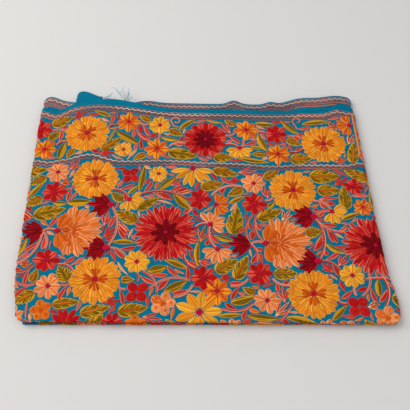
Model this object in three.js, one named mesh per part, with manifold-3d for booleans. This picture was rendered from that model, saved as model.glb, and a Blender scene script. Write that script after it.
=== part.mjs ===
// A wool shawl two metres long and one metre wide, folded and laid flat.
// It is folded in half along its length, face out, so that both long hems lie at the back and the
// fold lies at the front. It is then folded in three: the left third goes under the middle, and the
// right third goes under both. That makes three pairs of layers, six layers in all.
//
// +X is to the right, +Y is to the back where the hems are, +Z is up, and the floor is z = 0.
// All sizes are in millimetres.
import * as THREE from "three";
import { mergeVertices } from "three/addons/utils/BufferGeometryUtils.js";
import Module from "manifold-3d";

// ---------------------------------------------------------------- driving sizes

const SHAWL_LENGTH = 2000;
const SHAWL_WIDTH = 1000;
const FOLDED_WIDTH = SHAWL_LENGTH / 3;
const FOLDED_DEPTH = SHAWL_WIDTH / 2;

const WALL = 2.0; // one layer of embroidered cloth
const GAP = 0.3; // air between two layers
const PAIR = 4.8; // a folded pair of layers, pressed
const PAIR_STEP = 5.3; // from one pair to the next

const TOP = 3 * PAIR_STEP; // height of the face of the top layer
const LEFT_RADIUS = PAIR_STEP; // the top pair turns under into the middle pair
const RIGHT_RADIUS = TOP / 2; // the top pair turns under into the bottom pair
const LEFT_AXIS_Z = TOP - LEFT_RADIUS;
const RIGHT_AXIS_Z = RIGHT_RADIUS;

const NOSE = PAIR / 2; // radius of the rounded front fold of a pair
const NOSE_RETURN = 5; // how far a front fold runs back under its layer
const TUCK = 24; // how far the face leaf runs in below the left fold, away from its corner
const CORNER = 9; // radius of a folded corner, seen from above

// ---------------------------------------------------------------- outline, seen from above

// Hand folding leaves the hems wavy. Each row is one wave of an edge: where it is, how wide it is,
// how far it pushes the edge out, and how far it lifts it.
const HEM_WAVES = [
  { at: -312, wide: 22, out: -12.5, lift: -1.0 },
  { at: -205, wide: 85, out: 25.0, lift: 1.6 },
  { at: 20, wide: 60, out: 1.5, lift: 0.6 },
  { at: 292, wide: 30, out: 22.0, lift: 2.4 },
];
const SECOND_HEM_WAVES = [
  { at: -330, wide: 22, out: 9.0, lift: 4.0 },
  { at: -215, wide: 45, out: -14.0, lift: -1.0 },
  { at: -125, wide: 28, out: 5.0, lift: 1.2 },
  { at: 62, wide: 16, out: 8.0, lift: 2.6 },
  { at: 140, wide: 14, out: 5.0, lift: 2.2 },
  { at: 205, wide: 40, out: 15.0, lift: 1.0 },
  { at: 285, wide: 56, out: 26.0, lift: 2.0 },
];
const LEFT_WAVES = [{ at: -262, wide: 58, out: 17 }];
const RIGHT_WAVES = [{ at: -215, wide: 52, out: 10 }];

// Soft hollows and swells of the top, from how the layers below lie.
const SWELLS = [
  { x: -245, y: 165, wide: 60, deep: 55, rise: 1.1 },
  { x: -300, y: 205, wide: 30, deep: 45, rise: -1.2 },
  { x: -60, y: 10, wide: 110, deep: 60, rise: 0.7 },
  { x: 150, y: -80, wide: 90, deep: 70, rise: 0.8 },
  { x: 120, y: 150, wide: 80, deep: 40, rise: -0.9 },
  { x: -180, y: -150, wide: 80, deep: 50, rise: 0.6 },
  { x: 30, y: -190, wide: 60, deep: 40, rise: -0.6 },
];

const gauss = (x, at, wide) => Math.exp(-(((x - at) / wide) ** 2));
const waves = (rows, x, column) =>
  rows.reduce((sum, row) => sum + row[column] * gauss(x, row.at, row.wide), 0);
const lerp = (a, b, t) => a + (b - a) * t;
const smooth = (t) => {
  const c = Math.min(1, Math.max(0, t));
  return c * c * (3 - 2 * c);
};

const leftFold = (y) => -FOLDED_WIDTH / 2 - 9.2 - 0.02 * y + waves(LEFT_WAVES, y, "out");
const rightFold = (y) => FOLDED_WIDTH / 2 - 11.8 - 0.025 * y + waves(RIGHT_WAVES, y, "out");
const frontFold = (x) => -FOLDED_DEPTH / 2 + 0.5 - 0.006 * x;
const hem = (x) => FOLDED_DEPTH / 2 - 26 - 0.02 * x + waves(HEM_WAVES, x, "out");
const secondHem = (x) => FOLDED_DEPTH / 2 - 4 - 0.02 * x + waves(SECOND_HEM_WAVES, x, "out");
const shortEnd = (y) => leftFold(y) + LEFT_RADIUS + 6 + 0.05 * (y + FOLDED_DEPTH / 2);

const MIDDLE_FRONT_BACKSET = 3; // how far the middle pair's front fold lies behind the top one
const BOTTOM_FRONT_BACKSET = 2;
const FOLD_GAP = 0.8; // air inside the rounds of the side folds
const TOP_GAP = 0.5; // air below the face leaf, which also bends more than the layers below it
const MIDDLE_HEM = 232; // back edges of the hidden layers
const BOTTOM_HEM = 236;
const LINING_BACKSET = 10; // the second half of the top pair ends this far short of its hem

const swell = (x, y) =>
  SWELLS.reduce((sum, s) => sum + s.rise * gauss(x, s.x, s.wide) * gauss(y, s.y, s.deep), 0);
const HEM_LIFT_DEPTH = 26;
const hemLift = (x, y) => waves(HEM_WAVES, x, "lift") * gauss(y, hem(x), HEM_LIFT_DEPTH);

const leftAxis = (y) => leftFold(y) + LEFT_RADIUS;
const rightAxis = (y) => rightFold(y) - RIGHT_RADIUS;
const tuckEnd = (y) => -FOLDED_WIDTH / 2 - 9.2 - 0.02 * y + LEFT_RADIUS + TUCK;

// How far the top rises above its level at a point. It is level where it meets the folds.
const FOLD_EASE = 30;
function relief(x, y) {
  const inside = Math.min(x - leftAxis(y), rightAxis(y) - x);
  return smooth(inside / FOLD_EASE) * (swell(x, y) + hemLift(x, y));
}

// How far a corner of the plan is rounded off, a distance d inside the side of the stack.
const cornerCut = (d) =>
  d >= CORNER ? 0 : CORNER - Math.sqrt(Math.max(0, CORNER ** 2 - (CORNER - d) ** 2));

// ---------------------------------------------------------------- solids from closed sections

// Triangles of a closed outline, all turning the way the outline turns. Rungs are pairs of its
// points, in order, that split it into small pieces, so that a bent end has no long triangles.
function capTriangles(outline, rungs) {
  const area = THREE.ShapeUtils.area(outline);
  const range = (from, to) => Array.from({ length: to - from + 1 }, (_, i) => from + i);
  const pieces = [];
  let low = 0;
  let high = outline.length - 1;
  for (const [a, b] of rungs) {
    pieces.push([...range(low, a), ...range(b, high)]);
    [low, high] = [a, b];
  }
  pieces.push(range(low, high));
  return pieces.flatMap((piece) => {
    const points = piece.map((i) => outline[i]);
    return THREE.ShapeUtils.triangulateShape(points, []).map((triangle) => {
      const [a, b, c] = triangle.map((i) => piece[i]);
      const turn = THREE.ShapeUtils.area([outline[a], outline[b], outline[c]]);
      return turn * area > 0 ? [a, b, c] : [a, c, b];
    });
  });
}

// Joins closed sections of equal point count into one solid with closed ends. A section holds its
// points in space and the same points as a flat outline.
function loft(sections, rungs = []) {
  const count = sections[0].points.length;
  const positions = sections.flatMap((s) => s.points.flatMap((p) => [p.x, p.y, p.z]));
  const faces = [];
  for (let i = 0; i + 1 < sections.length; i++) {
    for (let j = 0; j < count; j++) {
      const a = i * count + j;
      const b = i * count + ((j + 1) % count);
      faces.push(a, b, b + count, a, b + count, a + count);
    }
  }
  const last = (sections.length - 1) * count;
  for (const [a, b, c] of capTriangles(sections[0].outline, rungs)) faces.push(a, c, b);
  for (const [a, b, c] of capTriangles(sections.at(-1).outline, rungs))
    faces.push(last + a, last + b, last + c);
  return outward(new THREE.Float32BufferAttribute(positions, 3), faces);
}

// A geometry whose faces point out, whichever way its sections ran.
function outward(position, faces) {
  const corner = [new THREE.Vector3(), new THREE.Vector3(), new THREE.Vector3()];
  let volume = 0;
  for (let i = 0; i < faces.length; i += 3) {
    corner.forEach((v, k) => v.fromBufferAttribute(position, faces[i + k]));
    volume += corner[0].dot(corner[1].cross(corner[2]));
  }
  if (volume < 0)
    for (let i = 0; i < faces.length; i += 3)
      [faces[i + 1], faces[i + 2]] = [faces[i + 2], faces[i + 1]];
  const geometry = new THREE.BufferGeometry();
  geometry.setAttribute("position", position);
  geometry.setIndex(faces);
  return geometry;
}

// Even steps drawn a little closer together at both ends.
const spread = (steps) =>
  Array.from({ length: steps + 1 }, (_, i) => {
    const t = i / steps;
    return 0.5 * t + 0.25 * (1 - Math.cos(Math.PI * t));
  });

const TOP_COLUMNS = spread(36);
const TOP_ROWS = spread(15);
const FOLD_STEPS = 8;
const NOSE_STEPS = 6;

// ---------------------------------------------------------------- the face leaf

// The section of the face leaf across its width, as y and n, where n is 0 on its face and
// negative inwards: the hem, the face, the rounded front fold, its return and the back of the wall.
function leafSection(front, back) {
  const outline = [];
  const noseStart = front + NOSE;
  const returnEnd = noseStart + NOSE_RETURN;
  const rim = WALL / 2;
  for (const v of TOP_ROWS) outline.push([lerp(back - rim, noseStart, v), 0]);
  for (let k = 1; k <= NOSE_STEPS; k++) {
    const turn = (Math.PI * k) / NOSE_STEPS;
    outline.push([noseStart - NOSE * Math.sin(turn), -NOSE * (1 - Math.cos(turn))]);
  }
  outline.push([returnEnd, -PAIR]);
  for (const v of TOP_ROWS) outline.push([lerp(returnEnd, back - rim, v), -WALL]);
  outline.push([back, -rim]);
  return outline;
}

const LEAF_RUNGS = TOP_ROWS.map((_, k) => [k, 2 * TOP_ROWS.length + NOSE_STEPS - k]);

// One station of the leaf's path: where its front and back lie, and where a point (y, n) goes.
function leafStation(front, back, place) {
  const section = leafSection(front, back);
  return {
    points: section.map(([y, n]) => place(y, n)),
    outline: section.map(([y, n]) => new THREE.Vector2(y, n)),
  };
}

// The leaf's path starts at its short end on the floor, runs right, turns up over the right fold,
// runs left across the top, and turns under at the left fold.
function faceLeaf() {
  const stations = [];
  const bottomFront = (x) => frontFold(x) + BOTTOM_FRONT_BACKSET;
  const middleFront = (x) => frontFold(x) + MIDDLE_FRONT_BACKSET;

  const BOTTOM_COLUMNS = spread(8);
  for (const f of BOTTOM_COLUMNS) {
    const xAt = (y) => lerp(shortEnd(y), rightAxis(y), f);
    stations.push(
      leafStation(bottomFront(xAt(0)), BOTTOM_HEM, (y, n) => new THREE.Vector3(xAt(y), y, -n)),
    );
  }

  const rightX = rightAxis(0);
  for (let k = 1; k < FOLD_STEPS; k++) {
    const turn = Math.PI * (1 - k / FOLD_STEPS);
    const onTop = (1 + Math.cos(turn)) / 2;
    const cut = cornerCut(RIGHT_RADIUS * (1 - Math.sin(turn)));
    const front = lerp(bottomFront(rightX), frontFold(rightX), onTop) + cut;
    const back = lerp(BOTTOM_HEM, hem(rightX), onTop) - cut;
    stations.push(
      leafStation(front, back, (y, n) => {
        const reach = RIGHT_RADIUS + n;
        const x = rightAxis(y) + reach * Math.sin(turn);
        return new THREE.Vector3(x, y, RIGHT_AXIS_Z + reach * Math.cos(turn));
      }),
    );
  }

  for (const f of [...TOP_COLUMNS].reverse()) {
    const xAt = (y) => lerp(leftAxis(y), rightAxis(y), f);
    const inside = Math.min(LEFT_RADIUS + f * FOLDED_WIDTH, RIGHT_RADIUS + (1 - f) * FOLDED_WIDTH);
    const cut = cornerCut(inside);
    stations.push(
      leafStation(frontFold(xAt(0)) + cut, hem(xAt(0)) - cut, (y, n) => {
        const x = xAt(y);
        return new THREE.Vector3(x, y, TOP + n + relief(x, y));
      }),
    );
  }

  // It ends below the left fold along a straight line, on top of the bottom pair.
  const leftX = leftAxis(0);
  for (let k = 1; k <= FOLD_STEPS + 1; k++) {
    const turn = Math.PI * Math.min(1, k / FOLD_STEPS);
    const onTop = (1 + Math.cos(turn)) / 2;
    const cut = cornerCut(LEFT_RADIUS * (1 - Math.sin(turn)));
    const front = lerp(middleFront(leftX), frontFold(leftX), onTop) + cut;
    const back = lerp(MIDDLE_HEM, hem(leftX), onTop) - cut;
    stations.push(
      leafStation(front, back, (y, n) => {
        const reach = LEFT_RADIUS + n;
        const x = k > FOLD_STEPS ? tuckEnd(y) : leftAxis(y) - reach * Math.sin(turn);
        return new THREE.Vector3(x, y, LEFT_AXIS_Z + reach * Math.cos(turn));
      }),
    );
  }
  return loft(stations, LEAF_RUNGS);
}

// ---------------------------------------------------------------- the hidden layers

const LINING_TOP = TOP - WALL - TOP_GAP; // the second half of the top pair, below the face leaf
const MIDDLE_BASE = PAIR_STEP + GAP / 3;
const CORE_BASE = WALL + GAP;
const SHELF = MIDDLE_BASE + PAIR / 2; // the second leaf lies on this, behind the lining's edge
const GROOVE = 4; // depth of the grooves between the layers' back edges
const EDGE_BULGE = 0.8; // how far the middle of a layer's edge stands out

const coreFront = (x) => frontFold(x) + MIDDLE_FRONT_BACKSET + NOSE + NOSE_RETURN + 2 * GAP;

// The y of each row of the face leaf above x, held between the core's front and "back", with a
// least step from one row to the next.
const LEAST_STEP = 0.3;
function coreRows(x, front, back) {
  const leafBack = hem(x) - WALL / 2;
  const leafFront = frontFold(x) + NOSE;
  return TOP_ROWS.map((v, k) => {
    const most = back - LEAST_STEP * k;
    const least = front + LEAST_STEP * (TOP_ROWS.length - 1 - k);
    return Math.min(most, Math.max(least, lerp(leafBack, leafFront, v)));
  });
}

// The hidden layers' section at x, as y, z and whether the point rises with the top. The middle
// pair's front fold and the layers' back edges are drawn in where "full" is small, because the face
// leaf's own folds take their place there.
const BACK_POINTS = 9;
const FRONT_POINTS = NOSE_STEPS + 3;
const CORE_RUNGS = TOP_ROWS.map((_, k) => {
  const lastPoint = BACK_POINTS + 2 * TOP_ROWS.length + FRONT_POINTS - 1;
  return [BACK_POINTS + k, lastPoint - k];
}).slice(1, -1);

function coreSection(x, full, cut) {
  const front = coreFront(x) + cut;
  const lining = hem(x) - LINING_BACKSET - cut;
  const middle = lerp(lining - 1, MIDDLE_HEM - cut, full);
  const bottom = lerp(lining - 1, BOTTOM_HEM - 3 - cut, full);
  const bulge = EDGE_BULGE * full;
  const edge = (y, low, high) => [
    [y, low, 0],
    [y + bulge, (low + high) / 2, 0],
    [y, high, 0],
  ];
  const under = MIDDLE_BASE - GAP;
  const outline = [
    ...edge(bottom, CORE_BASE, under),
    [bottom - GROOVE * full, under + GAP / 2, 0],
    ...edge(middle, MIDDLE_BASE, SHELF),
    ...edge(lining, SHELF + GAP, LINING_TOP).slice(0, 2),
  ];
  for (const y of coreRows(x, front, lining)) outline.push([y, LINING_TOP, 1]);

  const noseTop = MIDDLE_BASE + PAIR;
  const noseFront = frontFold(x) + MIDDLE_FRONT_BACKSET;
  const noseRadius = PAIR / 2;
  outline.push([front, noseTop, 0]);
  for (let k = 0; k <= NOSE_STEPS; k++) {
    const turn = (Math.PI * k) / NOSE_STEPS;
    const y = noseFront + noseRadius * (1 - Math.sin(turn));
    const z = noseTop - noseRadius * (1 - Math.cos(turn)) - 0.01;
    outline.push([lerp(front - 0.05, y, full), z, 0]);
  }
  outline.push([front, MIDDLE_BASE - 0.05, 0]);
  const baseRows = coreRows(x, front, bottom - 1).reverse();
  for (const y of baseRows) outline.push([y, CORE_BASE, 0]);
  return outline;
}

// A station of the core: its section with every height passed through "level".
function coreStation(xAt, full, cut, level) {
  const section = coreSection(xAt(0), full, cut);
  return {
    points: section.map(([y, z, rises]) => {
      const x = xAt(y);
      return new THREE.Vector3(x, y, level(z) + rises * relief(x, y));
    }),
    outline: section.map(([y, z]) => new THREE.Vector2(y, level(z))),
  };
}

function hiddenLayers(wasm) {
  const leftReach = LEFT_RADIUS - WALL - FOLD_GAP;
  const rightReach = RIGHT_RADIUS - WALL - FOLD_GAP;
  const DRAWN_IN = 0.02;
  const ROUND = 6; // how much more the core's corners are cut than the leaf's round them
  const END_TURNS = [78, 52, 26].map(THREE.MathUtils.degToRad);

  // Inside the left fold only the layers above the tuck are there, so the heights close up to it.
  const share = (LINING_TOP - LEFT_AXIS_Z + leftReach) / (LINING_TOP - CORE_BASE);
  const aboveTuck = (z) => LINING_TOP - (LINING_TOP - z) * share;
  const level = (z) => z;
  const stations = [];
  for (const turn of END_TURNS) {
    const xAt = (y) => leftAxis(y) - leftReach * Math.sin(turn);
    const cut = cornerCut(LEFT_RADIUS * (1 - Math.sin(turn))) + ROUND;
    const squeeze = (z) => LEFT_AXIS_Z + (aboveTuck(z) - LEFT_AXIS_Z) * Math.cos(turn);
    stations.push(coreStation(xAt, DRAWN_IN, cut, squeeze));
  }
  const axisCut = cornerCut(LEFT_RADIUS) + ROUND;
  const pastTuck = (y) => tuckEnd(y) + 4 * GAP;
  stations.push(coreStation(leftAxis, DRAWN_IN, axisCut, aboveTuck));
  stations.push(coreStation(pastTuck, DRAWN_IN, 1.5, aboveTuck));
  stations.push(coreStation((y) => pastTuck(y) + GAP, DRAWN_IN, 1.5, level));
  stations.push(coreStation((y) => pastTuck(y) + 2 * GAP, 1, 1.5, level));

  for (const f of TOP_COLUMNS.slice(1, -1)) {
    if (f * FOLDED_WIDTH < TUCK + 3) continue;
    stations.push(coreStation((y) => lerp(leftAxis(y), rightAxis(y), f), 1, 0, level));
  }

  const rightCut = cornerCut(RIGHT_RADIUS) + ROUND;
  stations.push(coreStation((y) => rightAxis(y) - 1, 1, rightCut, level));
  stations.push(coreStation(rightAxis, DRAWN_IN, rightCut, level));
  for (const turn of [...END_TURNS].reverse()) {
    const xAt = (y) => rightAxis(y) + rightReach * Math.sin(turn);
    const cut = cornerCut(RIGHT_RADIUS * (1 - Math.sin(turn))) + ROUND;
    const fit = rightReach / Math.max(LINING_TOP - RIGHT_AXIS_Z, RIGHT_AXIS_Z - CORE_BASE);
    const squeeze = (z) => RIGHT_AXIS_Z + (z - RIGHT_AXIS_Z) * fit * Math.cos(turn);
    stations.push(coreStation(xAt, DRAWN_IN, cut, squeeze));
  }
  return geometryOf(solid(wasm, loft(stations, CORE_RUNGS)).add(solid(wasm, endLedge())));
}

// The inner half of the bottom pair, which runs on below the left fold to the short end.
function endLedge() {
  const LEDGE_INSET = 2.2;
  const low = CORE_BASE + 0.05;
  const high = MIDDLE_BASE - GAP - 0.05;
  const front = coreFront(leftAxis(0)) + LEDGE_INSET;
  const back = BOTTOM_HEM - 3 - LEDGE_INSET;
  const rows = spread(6);
  const ledgeAt = (xAt) => {
    const outline = rows.map((v) => [lerp(front, back, v), low]);
    outline.push([back + EDGE_BULGE / 2, (low + high) / 2]);
    outline.push(...rows.map((v) => [lerp(back, front, v), high]));
    return {
      points: outline.map(([y, z]) => new THREE.Vector3(xAt(y), y, z)),
      outline: outline.map(([y, z]) => new THREE.Vector2(y, z)),
    };
  };
  return loft([
    ledgeAt((y) => shortEnd(y) + 1.5),
    ledgeAt((y) => tuckEnd(y) + 12),
  ]);
}

function solid(wasm, geometry) {
  const merged = mergeVertices(geometry, 1e-4);
  return new wasm.Manifold(
    new wasm.Mesh({
      numProp: 3,
      vertProperties: merged.attributes.position.array,
      triVerts: new Uint32Array(merged.index.array),
    }),
  );
}

function geometryOf(manifold) {
  const mesh = manifold.getMesh();
  const geometry = new THREE.BufferGeometry();
  geometry.setAttribute("position", new THREE.Float32BufferAttribute(mesh.vertProperties, 3));
  geometry.setIndex(new THREE.Uint32BufferAttribute(mesh.triVerts, 1));
  return geometry;
}

// ---------------------------------------------------------------- leaves that show at the back

const SECOND_WALL = 1.8;
const SECOND_BASE = SHELF + GAP;
const SECOND_TUCK = 6; // it starts this far in front of the hem above it
const SECOND_SIDE = 12; // near the side folds it starts behind the layers instead
const RISE_START = 8; // the second leaf starts to rise this far in front of the hem above it
const RISE_LENGTH = 24;

// The underside of the second leaf: flat on its shelf, then rising and falling with its own waves.
function secondUnderside(x, y) {
  const out = smooth((y - (hem(x) - RISE_START)) / RISE_LENGTH);
  return SECOND_BASE + out * waves(SECOND_HEM_WAVES, x, "lift");
}

// The second hem: the next layer with its face up, which stands out behind the face leaf.
function secondLeaf() {
  const left = leftFold(FOLDED_DEPTH / 2) + 2.5;
  const right = rightFold(FOLDED_DEPTH / 2) - 2;
  const inner = (x) => x > left + SECOND_SIDE && x < right - SECOND_SIDE;
  const startAt = (x) => (inner(x) ? hem(x) - SECOND_TUCK : BOTTOM_HEM + 3);
  const columns = spread(54).map((f) => lerp(left, right, f));
  const rows = spread(5);
  const leafAt = (x) => {
    const side = Math.min(x - left, right - x);
    const start = startAt(x);
    const end = Math.max(start + 3, secondHem(x) - 0.8 * cornerCut(side));
    const rim = SECOND_WALL / 2;
    const under = (y) => secondUnderside(x, y);
    const across = rows.map((v) => lerp(start, end - rim, v));
    const outline = across.map((y) => [y, under(y)]);
    outline.push([end, under(end) + rim]);
    outline.push(...[...across].reverse().map((y) => [y, under(y) + SECOND_WALL]));
    return {
      points: outline.map(([y, z]) => new THREE.Vector3(x, y, z)),
      outline: outline.map(([y, z]) => new THREE.Vector2(y, z)),
    };
  };
  return loft(columns.map(leafAt));
}

// The loose corner: a plain end of the cloth that has slipped out behind the hem and hangs down.
const CORNER_LEFT = -277;
const CORNER_RIGHT = -221;
const CORNER_WALL = 1.6;
const CORNER_TUCK = 5; // it comes out from this far below the hem
const CORNER_TIP = 284; // how far back it reaches
const CORNER_TIP_HEIGHT = 4.5;

const cornerEdge = (x) => {
  const t = (x - CORNER_LEFT) / (CORNER_RIGHT - CORNER_LEFT);
  const rounded = cornerCut((x - CORNER_LEFT) * 1.1);
  return CORNER_TIP - 17 * smooth((t - 0.15) / 0.85) - 1.2 * rounded;
};

function cornerUnderside(y) {
  const start = SECOND_BASE + SECOND_WALL + GAP;
  const sag = smooth((y - 246) / (CORNER_TIP - 246));
  return lerp(start, CORNER_TIP_HEIGHT, sag);
}

function endCorner() {
  const columns = spread(10).map((f) => lerp(CORNER_LEFT, CORNER_RIGHT, f));
  const rows = spread(8);
  const leafAt = (x) => {
    const t = (x - CORNER_LEFT) / (CORNER_RIGHT - CORNER_LEFT);
    const start = hem(x) - CORNER_TUCK;
    const end = cornerEdge(x);
    const curl = (y) => 2.4 * smooth((y - 250) / 30) * Math.sin(Math.PI * t) ** 2;
    const under = (y) => cornerUnderside(y) + curl(y);
    const across = rows.map((v) => lerp(start, end - CORNER_WALL / 2, v));
    const outline = across.map((y) => [y, under(y)]);
    outline.push([end, under(end) + CORNER_WALL / 2]);
    outline.push(...[...across].reverse().map((y) => [y, under(y) + CORNER_WALL]));
    return {
      points: outline.map(([y, z]) => new THREE.Vector3(x, y, z)),
      outline: outline.map(([y, z]) => new THREE.Vector2(y, z)),
    };
  };
  return loft(columns.map(leafAt));
}

// ---------------------------------------------------------------- frayed threads

const THREAD = 0.9; // thickness of a pulled warp thread

// Each row is one thread: where along its strip it starts, how long it is, which way it points in
// degrees from straight back, how much it bends sideways, and how far its end rises or falls.
const HEM_THREADS = [
  { along: -5, long: 46, heading: -42, bend: 8, rise: 4 },
  { along: -3, long: 30, heading: -24, bend: -5, rise: 2 },
  { along: -1, long: 38, heading: -14, bend: -6, rise: 3 },
  { along: 1, long: 34, heading: -2, bend: 5, rise: 2 },
  { along: 3, long: 24, heading: 6, bend: -4, rise: -3 },
  { along: 5, long: 14, heading: 16, bend: 2, rise: -4 },
];
const CORNER_THREADS = [
  { along: -2, long: 26, heading: 48, bend: 6, rise: 3 },
  { along: 0, long: 16, heading: 66, bend: -4, rise: -1 },
  { along: 2, long: 11, heading: 80, bend: 3, rise: -2 },
];

function thread(root, row) {
  const heading = THREE.MathUtils.degToRad(row.heading);
  const ahead = new THREE.Vector3(Math.sin(heading), Math.cos(heading), 0);
  const across = new THREE.Vector3(ahead.y, -ahead.x, 0);
  const POINTS = 6;
  const path = Array.from({ length: POINTS }, (_, i) => {
    const t = i / (POINTS - 1);
    return root
      .clone()
      .addScaledVector(ahead, row.long * t)
      .addScaledVector(across, row.bend * Math.sin(Math.PI * t) * t)
      .add(new THREE.Vector3(row.along, 0, row.rise * t * t));
  });
  const r = THREAD / 2;
  const section = new THREE.Shape([
    new THREE.Vector2(-r, -r),
    new THREE.Vector2(r, -r),
    new THREE.Vector2(0, r),
  ]);
  const geometry = new THREE.ExtrudeGeometry(section, {
    steps: 7,
    extrudePath: new THREE.CatmullRomCurve3(path),
  });
  geometry.deleteAttribute("normal");
  geometry.deleteAttribute("uv");
  return geometry;
}

// Threads whose roots are fused into a narrow strip just clear of the cloth's edge.
function threadStrip(wasm, centre, rows) {
  const STRIP_DEPTH = 2.4;
  const STRIP_HEIGHT = 1.5;
  const length = 2 * Math.max(...rows.map((row) => Math.abs(row.along))) + 3;
  const strip = new THREE.BoxGeometry(length, STRIP_DEPTH, STRIP_HEIGHT);
  strip.deleteAttribute("normal");
  strip.deleteAttribute("uv");
  strip.translate(centre.x, centre.y, centre.z);
  let joined = solid(wasm, strip);
  for (const row of rows) joined = joined.add(solid(wasm, thread(centre, row)));
  return geometryOf(joined);
}

// ---------------------------------------------------------------- the shawl

const wool = { roughness: 0.9, metalness: 0 };
const groundCloth = new THREE.MeshStandardMaterial({ color: 0x0f7f99, ...wool });
const embroidered = new THREE.MeshStandardMaterial({ color: 0xd9702c, ...wool });
const threads = new THREE.MeshStandardMaterial({ color: 0x1b8ca6, ...wool });

const wasm = await Module();
wasm.setup();

const shawl = new THREE.Group();
function add(name, geometry, material) {
  const mesh = new THREE.Mesh(geometry, material);
  mesh.name = name;
  shawl.add(mesh);
}

const FRAY_X = -167;
const frayRoot = new THREE.Vector3(
  FRAY_X,
  hem(FRAY_X) + 2.2,
  TOP - WALL / 2 + hemLift(FRAY_X, hem(FRAY_X)),
);
const tipX = CORNER_RIGHT + 4;
const tipY = cornerEdge(CORNER_RIGHT) - 5;
const cornerRoot = new THREE.Vector3(tipX, tipY, cornerUnderside(tipY) + CORNER_WALL / 2);

add("face_leaf", faceLeaf(), embroidered);
add("hidden_layers", hiddenLayers(wasm), groundCloth);
add("second_leaf", secondLeaf(), embroidered);
add("end_corner", endCorner(), groundCloth);
add("hem_threads", threadStrip(wasm, frayRoot, HEM_THREADS), threads);
add("corner_threads", threadStrip(wasm, cornerRoot, CORNER_THREADS), threads);

export default shawl;
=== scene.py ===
# A wool shawl embroidered all over with flowers, folded and laid on a pale floor.
# Lengths of cloth are in millimetres until a mesh is made, and Blender's are in metres.
# +X is to the right, +Y is to the back where the open hems are, +Z is up.

import math
from collections import namedtuple

import bpy
import numpy as np
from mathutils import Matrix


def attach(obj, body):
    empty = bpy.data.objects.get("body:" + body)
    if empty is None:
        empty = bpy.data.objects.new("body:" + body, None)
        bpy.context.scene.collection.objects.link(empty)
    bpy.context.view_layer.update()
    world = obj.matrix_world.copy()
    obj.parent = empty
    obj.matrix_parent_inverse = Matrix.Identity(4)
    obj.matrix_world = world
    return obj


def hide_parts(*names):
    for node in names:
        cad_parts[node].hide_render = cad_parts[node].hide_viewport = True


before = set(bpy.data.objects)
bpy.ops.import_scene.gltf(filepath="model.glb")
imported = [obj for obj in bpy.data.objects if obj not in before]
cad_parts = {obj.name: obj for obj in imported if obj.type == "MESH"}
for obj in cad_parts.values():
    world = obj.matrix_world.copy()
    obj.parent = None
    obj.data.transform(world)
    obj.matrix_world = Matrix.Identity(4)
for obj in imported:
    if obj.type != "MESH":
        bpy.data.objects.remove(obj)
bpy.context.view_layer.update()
scene = bpy.context.scene
scene.view_settings.view_transform = "Standard"

# ---------------------------------------------------------------- camera
# The view is from the front, looking down at the folded shawl at 58 degrees.

VIEW_ELEVATION = math.radians(58)
VIEW_DISTANCE = 1.164
VIEW_TARGET = (0.0, -0.0045, 0.0)
FRAME_PIXELS = 410
FOCAL_PIXELS = 600

camera_data = bpy.data.cameras.new("camera")
camera_data.sensor_width = 36
camera_data.lens = camera_data.sensor_width * FOCAL_PIXELS / FRAME_PIXELS
camera = bpy.data.objects.new("camera", camera_data)
scene.collection.objects.link(camera)
camera.location = (
    VIEW_TARGET[0],
    VIEW_TARGET[1] - VIEW_DISTANCE * math.cos(VIEW_ELEVATION),
    VIEW_TARGET[2] + VIEW_DISTANCE * math.sin(VIEW_ELEVATION),
)
camera.rotation_euler = (math.pi / 2 - VIEW_ELEVATION, 0, 0)
scene.camera = camera

# ---------------------------------------------------------------- floor and light
# A sheet of plain pale paper, with a large soft window on the left and a weaker fill on the right.


def linear(red, green, blue):
    """A screen colour from 0 to 255 as the linear colour that a shader takes: a straight line
    near black, and a power of 2.4 above it."""
    values = np.array([red, green, blue]) / 255
    low = values / 12.92
    high = ((values + 0.055) / 1.055) ** 2.4
    return (*np.where(values <= 0.04045, low, high), 1.0)


class Graph:
    """The nodes of one material. Its method node makes any node and returns one of its outputs."""

    def __init__(self, name, roughness=0.9, specular=0.06):
        self.material = bpy.data.materials.new(name)
        self.material.use_nodes = True
        self.tree = self.material.node_tree
        self.shader = self.tree.nodes["Principled BSDF"]
        self.shader.inputs["Roughness"].default_value = roughness
        self.shader.inputs["Specular IOR Level"].default_value = specular

    def feed(self, socket, value):
        """Links a value to a socket, or sets the socket to a plain number or colour."""
        if isinstance(value, Value):
            self.tree.links.new(value.socket, socket)
        else:
            socket.default_value = value

    def node(self, kind, inputs=(), output=0, **settings):
        """Makes a node, sets it up, feeds its sockets and returns one of its outputs."""
        made = self.tree.nodes.new(kind)
        for name, value in settings.items():
            setattr(made, name, value)
        for name, value in dict(inputs).items():
            self.feed(made.inputs[name], value)
        return Value(self, made.outputs[output])

    def mix(self, factor, first, second, blend="MIX"):
        """Blends two colours."""
        inputs = {0: factor, 6: first, 7: second}
        return self.node("ShaderNodeMix", inputs, 2, data_type="RGBA", blend_type=blend)

    def attribute(self, name, output="Color"):
        """A field that is stored at the points of the mesh."""
        return self.node("ShaderNodeAttribute", output=output, attribute_name=name)

    def flat_place(self, uv_map):
        """The two coordinates of a UV map, which are millimetres of cloth or stitches."""
        uv = self.node("ShaderNodeUVMap", uv_map=uv_map)
        first = self.node("ShaderNodeSeparateXYZ", {0: uv})
        return first, Value(self, first.socket.node.outputs[1])

    def noise(self, where, scale, detail):
        """Soft random spots: the larger the scale, the smaller they are."""
        return self.node("ShaderNodeTexNoise", {"Vector": where, "Scale": scale, "Detail": detail})

    def finish(self, colour, height=None, bump=0.5, distance=0.001):
        """Feeds the shader its colour and the bump of a height field."""
        self.feed(self.shader.inputs["Base Color"], colour)
        if height is not None:
            inputs = {"Height": height, "Strength": bump, "Distance": distance}
            self.feed(self.shader.inputs["Normal"], self.node("ShaderNodeBump", inputs))
        return self.material


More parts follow.
